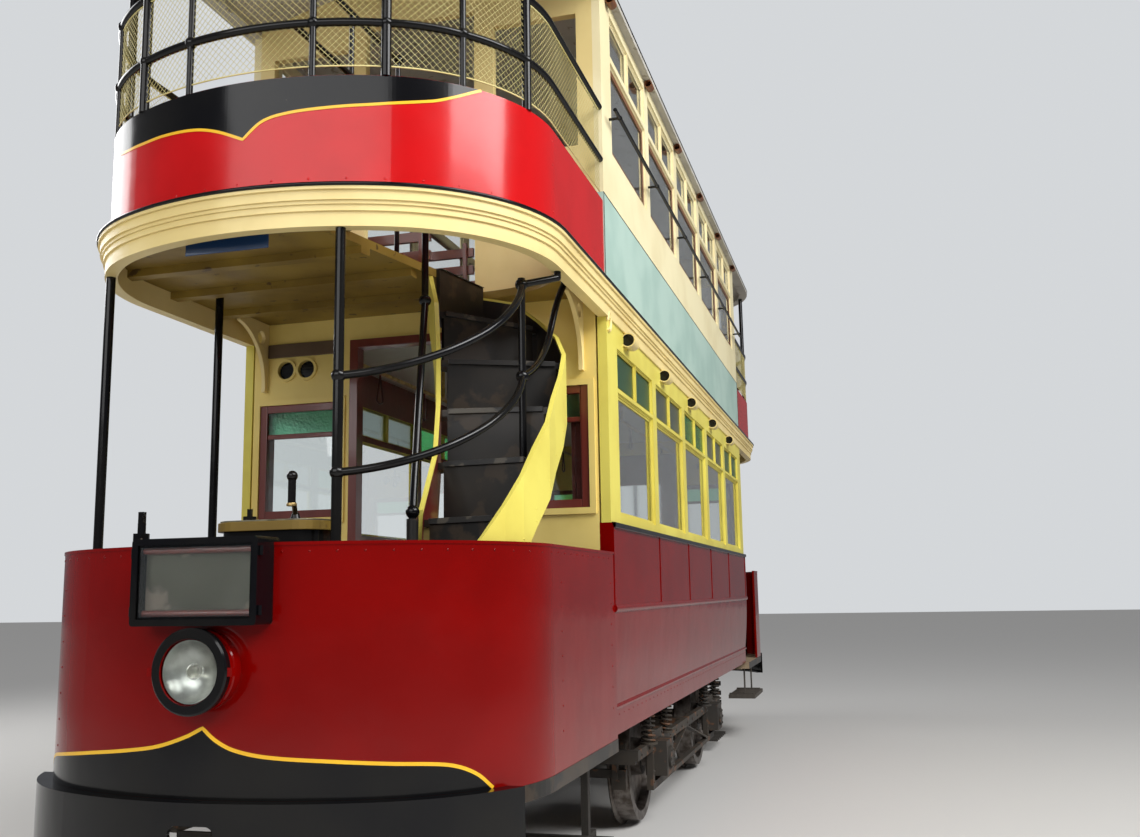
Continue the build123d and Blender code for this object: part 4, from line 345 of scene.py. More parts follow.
class Shape:
    """Vertices and faces of one piece while it is put together."""

    def __init__(self):
        self.points = []
        self.faces = []
        self.slots = []

    def strip(self, sections, slot=0, closed=False):
        """Join equal rings of points, one after the other; an open strip has both its ends closed."""
        start, count, rings = len(self.points), len(sections[0]), len(sections)
        faces = []
        for place in range(rings if closed else rings - 1):
            low, high = place * count, (place + 1) % rings * count
            for corner in range(count):
                after = (corner + 1) % count
                faces.append((low + corner, low + after, high + after, high + corner))
        if not closed:
            faces.append(tuple(reversed(range(count))))
            faces.append(tuple((rings - 1) * count + corner for corner in range(count)))
        self.points.extend(Vector(point) for section in sections for point in section)
        self.faces.extend([start + corner for corner in face] for face in faces)
        self.slots.extend([slot] * len(faces))

    def box(self, low, high, slot=0):
        """A bar between two corners."""
        (x0, x1), (y0, y1), (z0, z1) = (sorted(pair) for pair in zip(low, high))
        self.strip([[(x, y0, z0), (x, y1, z0), (x, y1, z1), (x, y0, z1)] for x in (x0, x1)], slot)

    def rod(self, start, end, radius, slot=0, sides=16):
        """A round bar between two points."""
        start, end = Vector(start), Vector(end)
        turn = (end - start).to_track_quat("Z", "Y")
        ring = [turn @ Vector((radius * math.cos(2 * math.pi * side / sides),
                               radius * math.sin(2 * math.pi * side / sides), 0)) for side in range(sides)]
        self.strip([[start + point for point in ring], [end + point for point in ring]], slot)

    def lathe(self, place, profile, sides):
        """Turn a closed profile of (forward, radius) round an axis that points to the front."""
        sections = []
        for side in range(sides):
            angle = 2 * math.pi * side / sides
            across, up = math.cos(angle), math.sin(angle)
            sections.append([Vector(place) + Vector((radius * across, -forward, radius * up))
                             for forward, radius in profile])
        self.strip(sections, closed=True)

    def pad(self, centre, size, corner, low_z, high_z, slot=0, steps=6):
        """A flat plate with round corners."""
        ring = []
        for turn, (side_x, side_y) in enumerate(((1, 1), (-1, 1), (-1, -1), (1, -1))):
            for step in range(steps + 1):
                angle = math.pi / 2 * (turn + step / steps)
                ring.append((centre[0] + side_x * (size[0] / 2 - corner) + corner * math.cos(angle),
                             centre[1] + side_y * (size[1] / 2 - corner) + corner * math.sin(angle)))
        self.strip([[(*point, z) for point in ring] for z in (low_z, high_z)], slot)

    def frame(self, low, high, width, slot=0, along=0):
        """Four bars round the space between two corners; along is the axis of the level bars, X or Y."""
        left, right, foot, head = low[along], high[along], low[2], high[2]
        inner_left, inner_right = left + width, right - width
        for start, end, low_z, high_z in ((left, inner_left, foot, head), (inner_right, right, foot, head),
                                          (inner_left, inner_right, foot, foot + width),
                                          (inner_left, inner_right, head - width, head)):
            near, far = [*low[:2], low_z], [*high[:2], high_z]
            near[along], far[along] = start, end
            self.box(near, far, slot)

    def piece(self, name, materials, ends=False, body="root", smooth=False, bevel=0.0):
        """Make the object: doubles merged, faces pointing outwards, riding on its body.

        With ends the rear end has the same again, half a turn about Z.
        """
        if ends:
            count = len(self.points)
            self.points += half_turned(self.points)
            self.faces += [[count + corner for corner in face] for face in self.faces]
            self.slots += self.slots
        mesh = bpy.data.meshes.new(name)
        mesh.from_pydata(self.points, [], self.faces)
        mesh.polygons.foreach_set("material_index", self.slots)
        for material in materials:
            mesh.materials.append(material)
        edit = bmesh.new()
        edit.from_mesh(mesh)
        bmesh.ops.remove_doubles(edit, verts=edit.verts, dist=1e-6)
        bmesh.ops.dissolve_degenerate(edit, edges=edit.edges, dist=1e-7)
        bmesh.ops.recalc_face_normals(edit, faces=edit.faces)
        edit.to_mesh(mesh)
        edit.free()
        piece = add_object(name, mesh)
        if smooth:
            mesh.shade_smooth()
            mesh.set_sharp_from_angle(angle=math.radians(35))
        if bevel:
            rounding = piece.modifiers.new("rounded edges", "BEVEL")
            rounding.width = bevel
            rounding.segments = 2
            rounding.limit_method = "ANGLE"
        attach(piece, body)


def half_turned(points):
    """The same points at the rear end, half a turn about Z."""
    return [Vector((-point[0], -point[1], point[2])) for point in points]


def boxes(name, material, corners, **settings):
    """A piece made of boxes between pairs of corners."""
    shape = Shape()
    for low, high in corners:
        shape.box(low, high)
    shape.piece(name, [material], **settings)


class EndPath:
    """The line round one end in plan, from the right side to the left, measured along its length."""

    def __init__(self, plan, inset, back_y):
        half, front_y, corner_r, front_r = plan
        self.half, self.back_y = half - inset, back_y
        self.corner_x = half - corner_r
        self.front_cy = front_y + front_r
        self.corner_cy = self.front_cy - math.sqrt((front_r - corner_r) ** 2 - self.corner_x ** 2)
        self.join_angle = math.atan2(self.front_cy - self.corner_cy, self.corner_x)
        self.corner_r, self.front_r = corner_r - inset, front_r - inset
        self.side_length = back_y - self.corner_cy
        self.corner_length = self.corner_r * self.join_angle
        self.length = 2 * (self.side_length + self.corner_length
                           + self.front_r * (math.pi / 2 - self.join_angle))

    def at(self, distance):
        """Plan point and outward direction at a distance along the line."""
        mirrored = distance > self.length / 2
        run = self.length - distance if mirrored else distance
        if run < self.side_length:
            place, outward = Vector((self.half, self.back_y - run)), Vector((1, 0))
        elif run < self.side_length + self.corner_length:
            angle = (run - self.side_length) / self.corner_r
            outward = Vector((math.cos(angle), -math.sin(angle)))
            place = Vector((self.corner_x, self.corner_cy)) + outward * self.corner_r
        else:
            angle = self.join_angle + (run - self.side_length - self.corner_length) / self.front_r
            outward = Vector((math.cos(angle), -math.sin(angle)))
            place = Vector((0, self.front_cy)) + outward * self.front_r
        if mirrored:
            place.x, outward.x = -place.x, -outward.x
        return place, outward

    def steps(self, count):
        """Plan points and outward directions at equal steps along the whole line."""
        return [self.at(self.length * step / count) for step in range(count + 1)]

    def level_run(self, count, z):
        return [(*place, z) for place, _ in self.steps(count)]

    def across(self, x):
        """Plan point and outward direction at a distance x from the middle."""
        if abs(x) <= self.front_r * math.cos(self.join_angle):
            centre, radius = Vector((0, self.front_cy)), self.front_r
        else:
            centre, radius = Vector((math.copysign(self.corner_x, x), self.corner_cy)), self.corner_r
        place = Vector((x, centre.y - math.sqrt(max(radius ** 2 - (x - centre.x) ** 2, 0))))
        return place, (place - centre).normalized()

    def drawn_line(self, rows, count):
        """Plan points, outward directions and heights at equal steps of x on a line of (x, height) rows."""
        low_x, high_x = rows[0][0], rows[-1][0]
        drawn = []
        for step in range(count + 1):
            place, outward = self.across(low_x + (high_x - low_x) * step / count)
            drawn.append((place, outward, smooth_height(rows, place.x)))
        return drawn


# Black skirts and bands with a drawn edge, and the painted line along it
COAT_LIFT = 0.0002


def slope_at(rows, place, from_left):
    """Slope of a drawn line at a row; at its sharp point, x = 0, each side keeps its own."""
    before, after = max(place - 1, 0), min(place + 1, len(rows) - 1)
    if rows[place][0] == 0:
        before, after = (before, place) if from_left else (place, after)
    return (rows[after][1] - rows[before][1]) / (rows[after][0] - rows[before][0])


def smooth_height(rows, x):
    """Height at x on a line drawn smoothly through rows of (x, height)."""
    for place in range(len(rows) - 1):
        (x_low, z_low), (x_high, z_high) = rows[place], rows[place + 1]
        if x_low <= x <= x_high:
            width = x_high - x_low
            t = (x - x_low) / width
            slope_low = slope_at(rows, place, False) * width
            slope_high = slope_at(rows, place + 1, True) * width
            return (z_low * (2 * t ** 3 - 3 * t ** 2 + 1) + slope_low * (t ** 3 - 2 * t ** 2 + t)
                    + z_high * (3 * t ** 2 - 2 * t ** 3) + slope_high * (t ** 3 - t ** 2))
    return rows[0][1] if x < rows[0][0] else rows[-1][1]


def thin_coat(name, stations, near, far, material):
    """A coat on a curved sheet, from near to far outwards; stations are (place, outward, low, high)."""
    shape = Shape()
    sections = []
    for place, outward, low, high in stations:
        inside, outside = place + outward * near, place + outward * far
        sections.append([(*inside, low), (*outside, low), (*outside, high), (*inside, high)])
    shape.strip(sections)
    shape.piece(name, [material], ends=True)


def painted_band(name, path, rows, edge_z):
    """A black coat between one level edge and a drawn line given by rows."""
    stations = []
    for place, outward, z in path.drawn_line(rows, 120):
        low, high = sorted((edge_z, z))
        stations.append((place, outward, low, max(high, low + 0.0005)))
    thin_coat(name, stations, COAT_LIFT, 0.0012, GLOSS_BLACK)


def lining(name, path, rows, width):
    """A painted line along a drawn line given by rows."""
    drawn = path.drawn_line(rows, 160)
    sections = []
    for step, (place, outward, z) in enumerate(drawn):
        before, after = drawn[max(step - 1, 0)], drawn[min(step + 1, len(drawn) - 1)]
        run = Vector((*(after[0] - before[0]), after[2] - before[2])).normalized()
        across = run.cross(Vector((*outward, 0))).normalized() * (width / 2)
        near, far = (Vector((*(place + outward * out), z)) for out in (COAT_LIFT, 0.002))
        sections.append([near - across, far - across, far + across, near + across])
    shape = Shape()
    shape.strip(sections)
    shape.piece(name, [LINING_YELLOW], ends=True)


DASH_LINE = [(-0.945, 0.760), (-0.91, 0.815), (-0.84, 0.856), (-0.76, 0.872), (-0.55, 0.896),
             (-0.33, 0.918), (-0.187, 0.938), (-0.067, 0.974), (0, 1.005), (0.05, 0.965), (0.12, 0.932),
             (0.24, 0.908), (0.48, 0.890), (0.66, 0.877), (0.80, 0.865), (0.86, 0.848), (0.91, 0.812),
             (0.945, 0.762)]
dash_front = EndPath(DASH_PLAN, 0, END_Y)
painted_band("dash_skirts", dash_front, DASH_LINE, BUMPER_TOP_Z + 0.0005)
lining("dash_lining", dash_front, DASH_LINE, 0.013)

BALCONY_LINE = [(-0.88, PANEL_TOP_Z - 0.002), (-0.80, 3.420), (-0.72, 3.372), (-0.56, 3.357),
                (-0.40, 3.354), (-0.231, 3.340), (-0.12, 3.312), (0, 3.262), (0.08, 3.326), (0.18, 3.352),
                (0.36, 3.369), (0.545, 3.384), (0.72, 3.412), (0.80, 3.448), (0.88, PANEL_TOP_Z - 0.002)]
panel_front = EndPath(CANOPY_PLAN, PANEL_INSET, END_Y)
painted_band("balcony_bands", panel_front, BALCONY_LINE, PANEL_TOP_Z - 0.001)
lining("balcony_lining", panel_front, BALCONY_LINE, 0.012)


# Geometry Nodes trees for what repeats or follows a line

def start_mesh_tree(name, inputs):
    """A tree with a mesh in, a mesh out, a material and named sizes; inputs are (name, kind)."""
    return new_tree(name, "GeometryNodeTree", [("Geometry", "Geometry"), *inputs, ("Material", "Material")],
                    [("Geometry", "Geometry")])


def end_tree(tree, given, result, geometry, smooth=True):
    """Make instances real, shade smooth where asked, and set the material."""
    geometry = add_node(tree, "GeometryNodeRealizeInstances", {"Geometry": geometry}).outputs["Geometry"]
    if smooth:
        geometry = add_node(tree, "GeometryNodeSetShadeSmooth", {"Geometry": geometry}).outputs["Geometry"]
    values = {"Geometry": geometry, "Material": given["Material"]}
    feed(tree, result, {"Geometry": add_node(tree, "GeometryNodeSetMaterial", values).outputs["Geometry"]})
    return tree


def on_points(tree, given, instance, **turned_and_scaled):
    """The same mesh on every point."""
    values = {"Points": given["Geometry"], "Instance": instance, **turned_and_scaled}
    return add_node(tree, "GeometryNodeInstanceOnPoints", values).outputs["Instances"]


def round_bar(tree, line, radius, sides):
    """A round bar along a curve, closed at both ends."""
    section = add_node(tree, "GeometryNodeCurvePrimitiveCircle", {"Resolution": sides, "Radius": radius})
    values = {"Curve": line, "Profile Curve": section.outputs["Curve"], "Fill Caps": True}
    return add_node(tree, "GeometryNodeCurveToMesh", values).outputs["Mesh"]


def build_rivet_tree():
    """Round heads at points, each facing along its point's outward direction."""
    tree, given, result = start_mesh_tree("Rivet heads", [("Radius", "Float"), ("Height", "Float")])
    head = add_node(tree, "GeometryNodeMeshUVSphere", {"Segments": 8, "Rings": 4, "Radius": 1.0})
    radius = given["Radius"]
    size = add_node(tree, "ShaderNodeCombineXYZ", {"X": radius, "Y": radius, "Z": given["Height"]})
    values = {"Name": "outward"}
    outward = add_node(tree, "GeometryNodeInputNamedAttribute", values, data_type="FLOAT_VECTOR")
    values = {"Vector": outward.outputs["Attribute"]}
    facing = add_node(tree, "FunctionNodeAlignRotationToVector", values, axis="Z")
    heads = on_points(tree, given, head.outputs["Mesh"], Rotation=facing.outputs["Rotation"],
                      Scale=size.outputs["Vector"])
    return end_tree(tree, given, result, heads)


def build_wire_tree():
    """Round wire or tube along every run of edges."""
    tree, given, result = start_mesh_tree("Wires", [("Radius", "Float"), ("Sides", "Int")])
    line = add_node(tree, "GeometryNodeMeshToCurve", {"Mesh": given["Geometry"]}).outputs["Curve"]
    return end_tree(tree, given, result, round_bar(tree, line, given["Radius"], given["Sides"]))


def build_coil_tree():
    """Coil springs that stand on points."""
    tree, given, result = start_mesh_tree(
        "Coil springs", [(title, "Float") for title in ("Coil radius", "Height", "Turns", "Wire radius")])
    radius = given["Coil radius"]
    values = {"Resolution": 20, "Start Radius": radius, "End Radius": radius, "Height": given["Height"],
              "Rotations": given["Turns"]}
    coil = add_node(tree, "GeometryNodeCurveSpiral", values)
    spring = round_bar(tree, coil.outputs["Curve"], given["Wire radius"], 8)
    return end_tree(tree, given, result, on_points(tree, given, spring))


def build_slat_tree():
    """Equal slats centred on points."""
    tree, given, result = start_mesh_tree("Slats", [("Size", "Vector")])
    slat = add_node(tree, "GeometryNodeMeshCube", {"Size": given["Size"]}).outputs["Mesh"]
    return end_tree(tree, given, result, on_points(tree, given, slat), smooth=False)


RIVET_HEADS = build_rivet_tree()
WIRES = build_wire_tree()
COIL_SPRINGS = build_coil_tree()
SLATS = build_slat_tree()


def grow(name, tree, values, points, edges=(), outward=(), body="root"):
    """Run a tree on points and edges, and keep what it makes as a plain mesh piece."""
    seed = bpy.data.meshes.new(name)
    seed.from_pydata([tuple(point) for point in points], edges, [])
    if outward:
        facing = seed.attributes.new("outward", "FLOAT_VECTOR", "POINT")
        facing.data.foreach_set("vector", [value for direction in outward for value in direction])
    holder = add_object(name + "_seed", seed)
    modifier = holder.modifiers.new("tree", "NODES")
    modifier.node_group = tree
    for socket in tree.interface.items_tree:
        if socket.in_out == "INPUT" and socket.name in values:
            modifier[socket.identifier] = values[socket.name]
    made = holder.evaluated_get(bpy.context.evaluated_depsgraph_get())
    mesh = bpy.data.meshes.new_from_object(made)
    bpy.data.objects.remove(holder)
    edit = bmesh.new()
    edit.from_mesh(mesh)
    bmesh.ops.recalc_face_normals(edit, faces=edit.faces)
    edit.to_mesh(mesh)
    edit.free()
    piece = add_object(name, mesh)
    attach(piece, body)
    return piece


def rivets(name, spots, material, radius=0.005, height=0.0022, ends=True):
    """Round heads on spots, which are (place, outward direction)."""
    places, outward = zip(*spots)
    if ends:
        places, outward = [*places, *half_turned(places)], [*outward, *half_turned(outward)]
    grow(name, RIVET_HEADS, {"Radius": radius, "Height": height, "Material": material}, places,
         outward=outward)


def wires(name, runs, radius, material, sides=8, ends=True, body="root"):
    """Round wire along open runs of points."""
    if ends:
        runs = [*runs, *(half_turned(run) for run in runs)]
    points, edges = [], []
    for run in runs:
        start = len(points)
        points.extend(run)
        edges.extend((start + place, start + place + 1) for place in range(len(run) - 1))
    grow(name, WIRES, {"Radius": radius, "Sides": sides, "Material": material}, points, edges, body=body)


# Balcony netting: crossed wires between the panel and the top rail
NET_INSET = 0.025
NET_LOW_Z = 3.548
NET_HIGH_Z = 4.028
NET_EDGE_DROP = 0.02
NET_PITCH = 0.030
NET_WIRE_RADIUS = 0.0011


def net_runs(path, lean, shift):
    """Wires of one lean, each a chain of points one mesh apart, pushed off the middle by shift."""
    rows = round((NET_HIGH_Z - NET_LOW_Z) / NET_PITCH)
    columns = round(path.length / NET_PITCH)
    runs = []
    for start in range(-rows, columns + rows + 1):
        run = []
        for row in range(rows + 1):
            column = start + lean * row
            if 0 <= column <= columns:
                place, outward = path.at(path.length * column / columns)
                run.append((*(place + outward * shift), NET_LOW_Z + (NET_HIGH_Z - NET_LOW_Z) * row / rows))
        if len(run) > 1:
            runs.append(run)
    return runs


net_path = EndPath(CANOPY_PLAN, NET_INSET, END_Y - 0.02)
net = net_runs(net_path, 1, NET_WIRE_RADIUS) + net_runs(net_path, -1, -NET_WIRE_RADIUS)
wires("balcony_netting", net, NET_WIRE_RADIUS, NET_WIRE, sides=3)
net_edges = [net_path.level_run(120, z) for z in (NET_LOW_Z, NET_HIGH_Z - NET_EDGE_DROP)]
wires("balcony_net_edges", net_edges, 0.0032, NET_WIRE, sides=6)

# Black bead on the moulding, all round the car
MOULDING_OUT = 0.033
bead_path = EndPath(CANOPY_PLAN, -MOULDING_OUT, 0)
wires("moulding_bead", [bead_path.level_run(160, PANEL_LOW_Z - 0.005)], 0.0085, GLOSS_BLACK, sides=10)

# Rivets: under the dash top, up the dash joints, along the balcony panels, the side strips and the rockers
RIVET_PITCH = 0.10
ENTRANCE_LENGTH = 0.80


def spaced(low, high, pitch):
    """Values one pitch apart, from low to high at most."""
    return [low + step * pitch for step in range(int((high - low) / pitch) + 1)]


def spots_on(path, distances, heights):
    """Spots for rivets at distances along an end's line, each at several heights."""
    spots = []
    for distance in distances:
        place, facing = path.at(distance)
        spots += [((*place, z), (*facing, 0)) for z in heights]
    return spots


dash_path = EndPath(DASH_PLAN, 0, END_Y - 0.05)
dash_end = dash_path.length - ENTRANCE_LENGTH
dash_joints = (0.03, 0.92, dash_path.length / 2 + 0.86, dash_end - 0.03)
rivets("dash_rivets",
       spots_on(dash_path, spaced(0.06, dash_end - 0.05, RIVET_PITCH), [DASH_TOP_Z - 0.034])
       + spots_on(dash_path, dash_joints, spaced(0.90, DASH_TOP_Z - 0.08, RIVET_PITCH)), COACH_RED)
panel_length = panel_front.length
panel_joints = (0.03, 0.95, panel_length - 0.95, panel_length - 0.03)
rivets("balcony_rivets",
       spots_on(panel_front, spaced(0.05, panel_length - 0.05, 0.15), [PANEL_LOW_Z + 0.035])
       + spots_on(panel_front, panel_joints, spaced(PANEL_LOW_Z + 0.08, PANEL_TOP_Z - 0.03, 0.11)), LIT_COACH_RED)

STRIP_PLACES = [(bay - 1.5) * BAY_PITCH for bay in range(4)] + [END_Y + 0.018, -END_Y - 0.018]
side_places = [(HALF_WIDTH + 0.004, y, 1.425 + 0.085 * step) for y in STRIP_PLACES for step in range(5)]
side_places += [(HALF_WIDTH - 0.030, END_Y + 0.06 + 0.113 * step, 0.845) for step in range(51)]
rivets("side_rivets", [(place, (1, 0, 0)) for place in side_places], COACH_RED, radius=0.0042)

# Black waist bead under the windows
BEAD_PROFILE = ((0.001, 1.778), (0.0135, 1.780), (0.0155, 1.793), (0.0135, 1.806), (-0.008, 1.808))
bead = Shape()
for side in (-1, 1):
    bead.strip([[(side * (HALF_WIDTH + out), y, z) for out, z in BEAD_PROFILE] for y in (END_Y, -END_Y)])
bead.piece("waist_beads", [GLOSS_BLACK], bevel=0.002)

# Toplight tints: rolled coloured glass over the plain panes
TINT_OF_BAYS = (0, 1, 2, 1, 0)
LIGHT_SHIFT = 0.24375
LIGHT_HALF = 0.227
tints = Shape()
for side in (-1, 1):
    for place, tint in zip(BAY_PLACES, TINT_OF_BAYS):
        for middle in (place - LIGHT_SHIFT, place + LIGHT_SHIFT):
            low_y, high_y = middle - LIGHT_HALF, middle + LIGHT_HALF
            tints.box((side * 1.0325, low_y, 2.547), (side * 1.0365, high_y, 2.738), slot=tint)
tints.piece("toplight_tints", [GREEN_GLASS, GREY_GLASS, BRIGHT_GREEN_GLASS])

# Headlamp: black bezel, bright bowl and bulb behind the lens; profiles are (forward, radius)
LAMP_PLACE = (0, DASH_Y, 1.206)
for name, material, sides, profile in (
        ("lamp_bezels", GLOSS_BLACK, 72,
         [(0.0735, 0.1501), (0.0735, 0.1515), (0.0950, 0.1515), (0.1008, 0.1450), (0.1008, 0.1152),
          (0.1000, 0.1152), (0.1000, 0.1440), (0.0940, 0.1501)]),
        ("lamp_bowls", BRIGHT_METAL, 64,
         [(0.0865, 0.1088), (0.0640, 0.0960), (0.0430, 0.0765), (0.0295, 0.0520), (0.0235, 0.0290),
          (0.0235, 0), (0.0225, 0), (0.0225, 0.0295), (0.0285, 0.0528), (0.0420, 0.0775), (0.0630, 0.0970),
          (0.0865, 0.1098)]),
        ("lamp_bulbs", BULB_GLASS, 32,
         [(0.0240, 0), (0.0240, 0.014), (0.0400, 0.014), (0.0440, 0.019), (0.0520, 0.027), (0.0620, 0.029),
          (0.0720, 0.024), (0.0780, 0.013), (0.0800, 0)])):
    lamp_part = Shape()
    lamp_part.lathe(LAMP_PLACE, profile, sides)
    lamp_part.piece(name, [material], ends=True, smooth=True)

# Indicator box: blank grey board with its rollers behind the pane
BOX_Z = 1.519
ROLLER_Y = DASH_Y - 0.056
board = Shape()
board.box((-0.222, DASH_Y - 0.047, BOX_Z - 0.118), (0.222, DASH_Y - 0.044, BOX_Z + 0.118))
for z in (BOX_Z - 0.112, BOX_Z + 0.112):
    board.rod((-0.224, ROLLER_Y, z), (0.224, ROLLER_Y, z), 0.012, slot=1)
board.piece("indicator_boards", [BOARD_GREY, MAROON_WOOD], ends=True)

# Real coils in place of the ringed spring solids, with their seats and centre rods
SPRING_LOW_Z, SPRING_HIGH_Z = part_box("springs")[0].z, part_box("springs")[1].z
SEAT_THICKNESS = 0.014
WIRE_ROOM = 0.008
seat_low_z, seat_high_z = SPRING_LOW_Z + SEAT_THICKNESS, SPRING_HIGH_Z - SEAT_THICKNESS
spring_places = [(x, axle + shift) for x in (-0.920, 0.920) for axle in (-AXLE_Y, AXLE_Y)
                 for shift in (-0.290, 0.290)]
coils = grow("spring_coils", COIL_SPRINGS,
             {"Coil radius": 0.038, "Wire radius": 0.0075, "Turns": 6.0,
              "Height": seat_high_z - seat_low_z - 2 * WIRE_ROOM, "Material": IRON},
             [(x, y, seat_low_z + WIRE_ROOM) for x, y in spring_places])
seats = Shape()
for x, y in spring_places:
    for low_z, high_z, radius, sides in ((SPRING_LOW_Z, seat_low_z, 0.056, 24),
                                         (seat_high_z, SPRING_HIGH_Z, 0.056, 24),
                                         (seat_low_z, seat_high_z, 0.014, 12)):
        seats.rod((x, y, low_z), (x, y, high_z), radius, sides=sides)
seats.piece("spring_seats", [IRON])
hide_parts("springs")

# Stair, from the foot up. Columns: inner point across and along, outer point across and along, and radius
# of the outer curve, as shares of the half width and of the canopy's reach.
NOSING_SHARES = (
    (0.526, 0.767, 0.437, 0.990, 0.751),
    (0.537, 0.761, 0.620, 0.945, 0.639),
    (0.545, 0.747, 0.765, 0.874, 0.639),
    (0.544, 0.725, 0.882, 0.767, 0.639),
    (0.526, 0.615, 0.933, 0.637, 0.639),
    (0.486, 0.535, 0.934, 0.478, 1.127),
    (0.441, 0.469, 0.913, 0.325, 0.540),
    (0.400, 0.424, 0.714, 0.155, 0.540),
    (0.323, 0.352, 0.408, 0.093, 0.540),
)
CANOPY_REACH = 1.780
UPPER_FLOOR_Z = 3.025
RISE = (UPPER_FLOOR_Z - PLATFORM_Z) / len(NOSING_SHARES)


def plan_share(across, along):
    return Vector((across * HALF_WIDTH, END_Y - along * CANOPY_REACH))


STAIR = [(plan_share(in_x, in_y), plan_share(out_x, out_y), radius * HALF_WIDTH)
         for in_x, in_y, out_x, out_y, radius in NOSING_SHARES]
NOSING_PROFILE = ((0.014, -0.020), (0.014, 0.003), (-0.030, 0.003), (-0.030, 0.0003), (0.0015, 0.0003),
                  (0.0015, -0.020))
nosings = Shape()
for step, (inner, outer, _) in enumerate(STAIR):
    run = (outer - inner).normalized()
    front = Vector((run.y, -run.x))
    if step == len(STAIR) - 1:
        front = -front
    z = PLATFORM_Z + (step + 1) * RISE
    nosings.strip([[(*(place + front * out), z + rise) for out, rise in NOSING_PROFILE]
                   for place in (inner + run * 0.034, outer - run * 0.034)])
nosings.piece("stair_nosings", [NOSING_METAL], ends=True, bevel=0.0015)


STRING_RISE = 0.040
STRING_DEPTH = 0.290
STRING_TOP_Z = 2.985
COAT_DROP = 0.012


def string_run(side):
    """Plan points, nosing heights and outward directions along one string of the stair."""
    stations = []
    for step, (inner, outer, radius) in enumerate(STAIR):
        stations.append((inner if side == "inner" else outer, PLATFORM_Z + (step + 1) * RISE))
        if side == "outer" and step < len(STAIR) - 1:
            run = STAIR[step + 1][1] - outer
            sagitta = radius - math.sqrt(radius ** 2 - run.length_squared / 4)
            middle = (outer + STAIR[step + 1][1]) / 2 + Vector((run.y, -run.x)).normalized() * sagitta
            stations.append((middle, PLATFORM_Z + (step + 1.5) * RISE))
    sign = 1 if side == "outer" else -1
    placed = []
    for place, (point, z) in enumerate(stations):
        before, after = stations[max(place - 1, 0)][0], stations[min(place + 1, len(stations) - 1)][0]
        tangent = (after - before).normalized()
        placed.append((point, z, Vector((tangent.y, -tangent.x)) * sign))
    return placed


def string_low(z):
    """Height of a string's lower edge where its nosing is at z."""
    return max(PLATFORM_Z, z - STRING_DEPTH)


def string_coat(name, side, near, far, material, last=None):
    """A coat on one face of a string, from near to far outwards of its inner face."""
    stations = [(point, outward, string_low(z), min(z + STRING_RISE, STRING_TOP_Z) - COAT_DROP)
                for point, z, outward in string_run(side)[:last]]
    thin_coat(name, stations, near, far, material)


# Black coat on the edge of each platform below the dash, and coats on the strings' faces
PLATFORM_LOW_Z = 0.6852
edge_stations = [(place, outward, PLATFORM_LOW_Z, PLATFORM_Z + 0.002)
                 for place, outward in dash_front.steps(120)]
thin_coat("platform_edges", edge_stations, COAT_LIFT, 0.002, WORN_BLACK)
string_coat("string_insides", "outer", -0.0018, -0.0001, WORN_BLACK)
string_coat("inner_string_coats", "inner", 0.0201, 0.0218, MAROON_PAINT, last=6)
string_coat("inner_string_faces", "inner", -0.0018, -0.0001, MAROON_PAINT)
string_spots = [((*(point + outward * 0.020), string_low(z) + up), (*outward, 0))
                for point, z, outward in string_run("outer")[1:12] for up in (0.025, 0.075)]
rivets("string_rivets", string_spots, PRIMROSE)

# Bulkheads: varnished window sashes and panes, blank plate, vent shutters
BULKHEAD_FACE_Y = END_Y - 0.012
VENT_Z = 2.715
SASH_BAR = 0.042
sashes, panes = Shape(), Shape()
for side in (-1, 1):
    low_x, high_x = sorted((side * 0.461, side * 0.949))
    sashes.frame((low_x, END_Y - 0.004, 1.886), (high_x, END_Y + 0.034, 2.519), SASH_BAR)
    sashes.box((low_x + SASH_BAR, END_Y + 0.002, 2.330), (high_x - SASH_BAR, END_Y + 0.030, 2.356))
    for low_z, high_z, slot in ((1.926, 2.332, 0), (2.354, 2.479, 1)):
        panes.box((low_x + 0.040, END_Y + 0.014, low_z), (high_x - 0.040, END_Y + 0.018, high_z), slot)
sashes.piece("bulkhead_sashes", [MAROON_WOOD], ends=True, bevel=0.004)
panes.piece("bulkhead_panes", [WINDOW_GLASS, GREEN_GLASS], ends=True)
boxes("bulkhead_plates", PLATE_BROWN,
      [((-0.905, BULKHEAD_FACE_Y + 0.011, 2.790), (-0.452, BULKHEAD_FACE_Y - 0.004, 2.866))],
      ends=True, bevel=0.003)
vents = Shape()
for x in (-0.795, -0.669):
    vents.rod((x, END_Y + 0.020, VENT_Z), (x, END_Y + 0.026, VENT_Z), 0.0495, sides=36)
    for rise in (-0.024, -0.008, 0.008, 0.024):
        half = math.sqrt(0.046 ** 2 - rise ** 2)
        z = VENT_Z + rise
        vents.box((x - half, END_Y + 0.010, z - 0.004), (x + half, END_Y + 0.020, z + 0.004))
vents.piece("vent_shutters", [GLOSS_BLACK], ends=True)

# Ventilator drums: a black cup in the front of each, painted shade inside the hollow mouth
DRUM_RADIUS = 0.040
DRUM_LENGTH = 0.12
MOUTH_RADIUS = 0.0335
drum_low, drum_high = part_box("ventilators")
drum_pitch = (drum_high.y - DRUM_LENGTH - drum_low.y) / 4
mouth_shades = Shape()
for bay in range(5):
    for x in (DRUM_RADIUS - drum_high.x, drum_high.x - DRUM_RADIUS):
        mouth_shades.lathe((x, drum_low.y + bay * drum_pitch, drum_high.z - DRUM_RADIUS),
                     [(-0.012, 0.0005), (-0.012, MOUTH_RADIUS), (-0.003, MOUTH_RADIUS),
                      (-0.003, MOUTH_RADIUS - 0.002), (-0.010, MOUTH_RADIUS - 0.002), (-0.010, 0.0005)], 32)
mouth_shades.piece("drum_mouth_shades", [GLOSS_BLACK])

